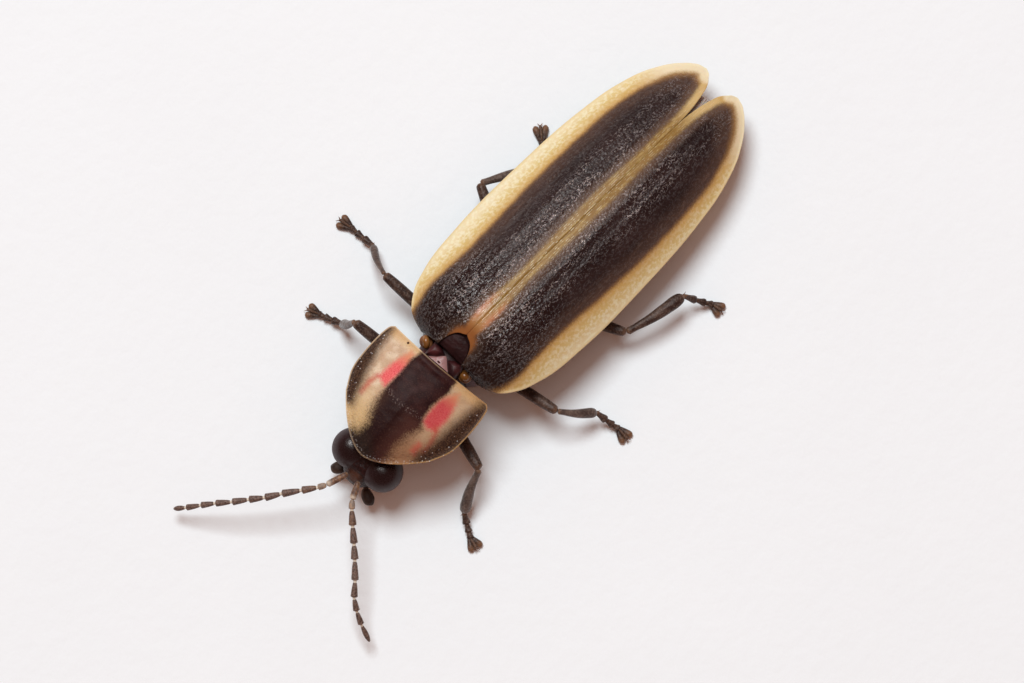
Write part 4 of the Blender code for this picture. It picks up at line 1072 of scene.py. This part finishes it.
def dome(centre, radii, sides=28, rows=18, turn=0.0):
    """Points and faces of an ellipsoid with its poles up and down, turned about them."""
    polar = np.linspace(0.02, math.pi - 0.02, rows)[:, None]
    c, s = loop(sides)
    x, y = np.sin(polar) * c, np.sin(polar) * s
    points = np.stack([x, y, np.broadcast_to(np.cos(polar), x.shape)], axis=-1).reshape(-1, 3) * radii
    return turned(points, centre, turn), tube_faces(rows, sides)


def cornered(outline, cut=0.10):
    """An outline with two points near each corner, so that a smooth curve through it keeps them."""
    line = np.array(outline, float)
    before, after = np.roll(line, 1, axis=0), np.roll(line, -1, axis=0)
    return np.stack([line + (before - line) * cut, line + (after - line) * cut], axis=1).reshape(-1, 2)


def collar(red, amber, rim, pink):
    """What shows between the shield and the covers: two dark lobes, a pink skin and two amber knobs."""
    for word, outline in NECK_LOBES.items():
        facing_out(piece(f"neck_lobe_{word}", *pillow(cornered(outline), NECK_Z, 0.19, 0.3), red))
    for word, (place, radii) in HINGE_KNOBS.items():
        piece(f"hinge_knob_{word}", *dome(place, radii, turn=math.radians(45)), amber)
        piece(f"hinge_seat_{word}", *dome((*place[:2], 2.22), (0.20, 0.18, 0.08), 28, 12), rim)
    facing_out(piece("neck_skin", *pillow(NECK_SKIN, NECK_Z, 0.07, 0.1), pink))
    piece("neck_spot", *dome((-0.07, -1.53, 2.43), (0.05, 0.028, 0.03), 12, 8), red)


# Head


def head(finish, dark):
    points, faces = body_rings(HEAD_STATIONS, 60, sides=64, power=2.2)
    x, y, z = points.T
    hollows = bell(x / 0.16) * bell((y + 3.27) / 0.30) + bell(x / 0.05) * bell((y + 3.64) / 0.12)
    points[:, 2] -= (z > 1.3) * 0.05 * hollows
    points[:, 2] += 0.008 * lumps(points, 0.25, 2)
    face = bell((y + 3.70) / 0.20) * bell(x / 0.36)
    piece("head_capsule", on_head(points), faces, finish, ["head"], fields={"face": face})
    points, faces = dome((0, -3.74, 1.00), (0.20, 0.10, 0.07), 24, 12)
    piece("upper_lip", on_head(points), faces, dark)


def eyes(finish):
    for side, word in SIDES.items():
        centre = (side * EYE_PLACE[0], *EYE_PLACE[1:])
        points, faces = dome(centre, (EYE_RADIUS, EYE_RADIUS * 1.02, EYE_RADIUS), 72, 48)
        piece(f"compound_eye_{word}", on_head(points), faces, finish, [f"eye_{word}"], "eye")


def mouthparts(finish):
    for word, way in (("left", PALP_LEFT), ("right", PALP_RIGHT)):
        path = smooth_path(way, 40)
        t = np.linspace(0, 1, 40)
        joints = 1 - 0.30 * sum(bell((t - at) / 0.025) for at in PALP_JOINTS)
        width = curve(PALP_WIDTH, t) * joints * np.sqrt(1 - np.clip((t - 0.80) / 0.203, 0, 1) ** 2)
        points, faces = sweep(path, width, width * 0.8, 36)
        piece(f"mouth_feeler_{word}", on_head(points), faces, finish, [f"palp_{word}"], "feeler")
    for side, word in SIDES.items():
        path = smooth_path([(side * x, y, z) for x, y, z in JAW], 20)
        width = 0.085 * (1 - np.linspace(0, 1, 20) ** 2 * 0.9)
        points, faces = sweep(path, width, width * 0.8, 14)
        piece(f"jaw_{word}", on_head(points), faces, finish, [f"mandible_{word}"])


def feeler(side, joints, finish):
    """An antenna: a long first joint, a short second one, then flaring ones with pale skin between them."""
    root = on_head([(side * ANTENNA_ROOT[0], *ANTENNA_ROOT[1:])])[0]
    line = [root] + [np.array(p) for p in joints]
    count = len(line) - 1
    parts, rings, roots = [], [], []

    def add(start, end, shares, radius, pale, warm, sides=16):
        path = start + (end - start) * shares[:, None]
        parts.append(sweep(path, radius, radius * 0.94, sides))
        rings.append(np.repeat(np.broadcast_to(pale, len(shares)), sides))
        roots.append(np.full(len(shares) * sides, warm))

    t = np.linspace(0, 1, 15)
    for k in range(count):
        start, end = line[k], line[k + 1]
        length = np.linalg.norm(end - start)
        slim = 1 - 0.24 * max(0, k - 4) / (count - 4)
        close = rounded(np.minimum((1.01 - t) / 0.05, (t + 0.02) / 0.06))
        if k == 0:
            radius = curve(FEELER_FIRST, t) * close
            add(start, end, 0.98 * t, radius, 0.75 * bell((t - 0.93) / 0.12), 0.75)
        elif k == 1:
            radius = curve(FEELER_SECOND, t) * close
            add(start, end, 0.98 * t, radius, 0.25, 1.0)
        else:
            gap = FEELER_GAP / length
            shape = FEELER_LAST if k == count - 1 else FEELER_LATER
            radius = slim * curve(shape, t) * close
            warm = 0.30 if k == 2 else 0.0
            add(start, end, gap + (0.99 - gap) * t, radius, 0.8 * bell((t - 1) / 0.04), warm)
            add(start, end, np.linspace(-0.05, gap * 2.0, 5), np.full(5, 0.046 * slim), 1.0, 0.0, 10)
    points, faces = joined(parts)
    fields = {"ring": np.concatenate(rings), "root": np.concatenate(roots)}
    piece(f"feeler_{SIDES[side]}", points, faces, finish, [f"antenna_{SIDES[side]}"], "feeler", fields)


# Legs


def leg_part(name, path, widths, depths, finish, nodes, joint, sides=20):
    points, faces = sweep(path, widths, depths, sides)
    piece(name, points, faces, finish, nodes, "leg", {"joint": np.repeat(joint, sides)})


def foot(name, ankle, fork, toe, finish, claw):
    """Three plain joints, a fourth with two brush-soled lobes, and a slim fifth with two claws."""
    ankle, toe = np.array(ankle, float), np.array(toe, float)
    fork = np.array((*fork, FORK_Z))
    level = unit((toe - fork) * (1, 1, 0))
    across = np.cross(level, (0, 0, 1))
    parts, joint = [], []

    def add(path, widths, depths, pale, sides=14):
        parts.append(sweep(path, widths, depths, sides))
        joint.append(np.repeat(np.broadcast_to(pale, len(path)), sides))

    t = np.linspace(0, 1, 11)
    for first, last in zip(FOOT_JOINTS, FOOT_JOINTS[1:]):
        share = first + (last - first) * t
        path = ankle + (fork - ankle) * share[:, None]
        path[:, 2] = np.maximum(0.12, path[:, 2] - 0.06 * np.sin(math.pi * share))
        width = curve(FOOT_JOINT, t) * (1 - 0.08 * first) * rounded((1.02 - t) / 0.07)
        add(path, width, np.minimum(width * 0.85, path[:, 2]), 0.8 * bell(t / 0.1))
    for side in (-1, 1):
        aside = side * (0.02 + 0.135 * t**0.85)
        line = fork + (toe - fork) * (-0.12 + 1.1 * t)[:, None] + across * aside[:, None]
        line[:, 2] = 0.105 - 0.025 * t
        width = curve(FOOT_LOBE, t) * rounded((1.02 - t) / 0.14)
        add(line, width, np.minimum(width * 0.9, line[:, 2]), 1.3 * np.clip((t - 0.45) * 1.8, 0, 1))
    line = fork + (toe - fork) * (0.98 * t)[:, None]
    line[:, 2] = 0.15 + 0.03 * np.sin(2.6 * t)
    width = (0.026 + 0.020 * t) * rounded((1.02 - t) / 0.1)
    add(line, width, width, 0.4)
    points, faces = joined(parts)
    points[:, 2] = np.maximum(points[:, 2], SOLE_Z)
    piece(f"{name}_foot", points, faces, finish, [f"{name}_tarsus"], "leg", {"joint": np.concatenate(joint)})
    claws = []
    for side in (-1, 1):
        aside = side * (0.012 + 0.060 * t**0.8)
        line = toe + level * (-0.03 + 0.10 * t)[:, None] + across * aside[:, None]
        line[:, 2] = 0.145 - 0.10 * t**2
        claws.append(sweep(line, CLAW_RADIUS * (1.05 - t) ** 0.7, None, 8))
    piece(f"{name}_claws", *joined(claws), claw, slot="leg")


def leg(where, side, hip, knee, ankle, toe, finish, shin_finish, claw):
    name = f"leg_{where}_{SIDES[side]}"
    hip, knee, ankle, toe = (np.array(p, float) for p in (hip, knee, ankle, toe))
    inward = unit(np.array((-side * 0.82, 0.0, 0.42)))
    t = np.linspace(0, 1, 18)
    path = smooth_path([hip + inward * 0.55, hip + inward * 0.25, hip], 18)
    width = 0.30 * (1 - 0.45 * t) * rounded((1.03 - t) / 0.15)
    leg_part(f"{name}_hip", path, width, width, finish, [f"{name}_coxa"], 0.5 * bell((t - 1) / 0.1))

    t = np.linspace(0, 1, 40)
    lift = np.array((0, 0, 0.06))
    middle = (hip + knee) / 2 + lift
    path = smooth_path([hip - inward * 0.02, middle, knee], 40)
    thigh = curve(THIGH, t) * rounded(np.minimum(t / 0.03 + 0.3, (1.01 - t) / 0.04))
    if where == "front":
        thigh = thigh * 1.04
    joint = 0.6 * bell((t - 1) / 0.03) + 0.7 * bell((t - 0.11) / 0.03)
    leg_part(f"{name}_thigh", path, thigh, thigh * 0.92, finish, [f"{name}_femur"], joint)

    way = unit(ankle - knee)
    aside = unit(np.cross(way, (0, 0, 1))) * 0.05 * side
    start = knee + way * 0.03
    path = smooth_path([start, start * 0.55 + ankle * 0.45 + aside + lift * 0.5, ankle], 34)
    t = np.linspace(0, 1, 34)
    shin = curve(SHIN, t) * SHIN_BREADTH.get((where, side), 1.0)
    shin = shin * rounded(np.minimum(t / 0.04 + 0.3, (1.01 - t) / 0.05))
    joint = 0.8 * bell(t / 0.04) + 0.5 * bell((t - 1) / 0.03)
    bare = finish if (where, side) == ("hind", 1) else shin_finish
    leg_part(f"{name}_shin", path, shin, shin * 0.85, bare, [f"{name}_tibia"], joint)
    spurs = []
    for k in (-1, 1):
        tip = ankle + way * 0.13 + unit(np.cross(way, (0, 0, 1))) * 0.07 * k
        spurs.append(sweep(np.linspace(ankle, tip, 6), SPUR_RADIUS * np.linspace(1, 0.1, 6), None, 8))
    piece(f"{name}_spurs", *joined(spurs), claw, slot="leg")
    foot(name, ankle, FORKS[where, side], toe, finish, claw)


# Setting


def view_axes():
    """The ways to the picture's right, to its top and towards the viewer."""
    across = Vector((SQRT_HALF, SQRT_HALF, 0))
    back = Vector((SQRT_HALF, -SQRT_HALF, 0))
    toward = back * math.cos(VIEW_HEIGHT) + Vector((0, 0, math.sin(VIEW_HEIGHT)))
    return across, toward.cross(across), toward


def in_view(*steps):
    """A place in metres, given by how far it is to the picture's right, up and out from the target."""
    return (Vector(VIEW_TARGET) + sum((way * far for way, far in zip(view_axes(), steps)), Vector())) * MM


def disc_light(name, steps, width, power):
    """A round soft light that looks at the view's target."""
    lamp = bpy.data.lights.new(name, "AREA")
    lamp.shape = "DISK"
    lamp.size = width * MM
    lamp.energy = power
    lamp.color = LAMP_COLOUR
    obj = add_object(name, lamp)
    obj.location = in_view(*steps)
    obj.rotation_euler = (in_view(0, 0, 0) - obj.location).to_track_quat("-Z", "Y").to_euler()


def setting():
    """Pale floor, a soft light towards the picture's top, a weak one overhead, warm fill and the camera."""
    bpy.ops.mesh.primitive_plane_add(size=FLOOR_WIDTH * MM)
    floor = bpy.context.object
    floor.name = "floor"
    floor.data.materials.append(floor_finish())
    world = bpy.data.worlds.new("studio")
    bpy.context.scene.world = world
    world.use_nodes = True
    sky = world.node_tree.nodes["Background"]
    sky.inputs["Color"].default_value = SKY_COLOUR
    sky.inputs["Strength"].default_value = SKY_STRENGTH
    for lamp in LAMPS:
        disc_light(*lamp)
    camera = bpy.data.cameras.new("camera")
    camera.sensor_width = SENSOR_WIDTH
    camera.lens = SENSOR_WIDTH * VIEW_DISTANCE / PICTURE_WIDTH
    camera.clip_start = 0.01
    obj = add_object("camera", camera)
    obj.location = in_view(0, 0, VIEW_DISTANCE)
    obj.rotation_euler = Matrix(view_axes()).transposed().to_euler()
    bpy.context.scene.camera = obj
    bpy.context.scene.view_settings.view_transform = "Standard"


def build():
    dark = shell_finish("dark_cuticle", (30, 11, 12), (46, 21, 21), 0.42, gloss=0.14)
    red = shell_finish("red_cuticle", (44, 16, 18), (80, 34, 35), 0.34, 0.06, 0.010, 0.30)
    amber = shell_finish("amber_cuticle", (112, 66, 28), (164, 106, 58), 0.12, 0.10, 0.008)
    belly = shell_finish("belly_cuticle", (52, 36, 32), (84, 62, 54), 0.30)
    lamp = shell_finish("lantern_cuticle", (222, 208, 150), (240, 230, 184), 0.32, 0.10, 0.010)
    brown = shell_finish("mouth_cuticle", (44, 30, 25), (78, 58, 48), 0.40, 0.05, 0.012, 0.25)
    claw = shell_finish("claw_cuticle", (96, 56, 34), (140, 88, 52), 0.25, 0.05, 0.004)
    # The folded wings' pale tone is partly their own smoky grey and partly painted light that makes up for
    # the shade under the covers.
    smoky_with_painted_light = membrane_finish("wing_skin", (150, 130, 122), (202, 184, 174))
    pink = membrane_finish("neck_skin_surface", (138, 88, 86), (176, 128, 124), 0.34)
    cover = cover_finish()

    for side in SIDES:
        wing_cover(side, cover)
        folded_wing(side, smoky_with_painted_light)
    shield(shield_finish())
    trunk(dark, red)
    abdomen(belly, lamp)
    scutellum(dark)
    collar(red, amber, claw, pink)
    head(head_finish(), brown)
    eyes(eye_finish())
    mouthparts(brown)
    feelers = feeler_finish()
    feeler(1, ANTENNA_LEFT, feelers)
    feeler(-1, ANTENNA_RIGHT, feelers)
    legs = leg_finish("leg_surface", (44, 26, 21), (76, 54, 45), 0.10)
    shins = leg_finish("shin_surface", (62, 46, 40), (98, 78, 70), 0.45)
    for stations in LEGS:
        leg(*stations, legs, shins, claw)
    setting()


build()
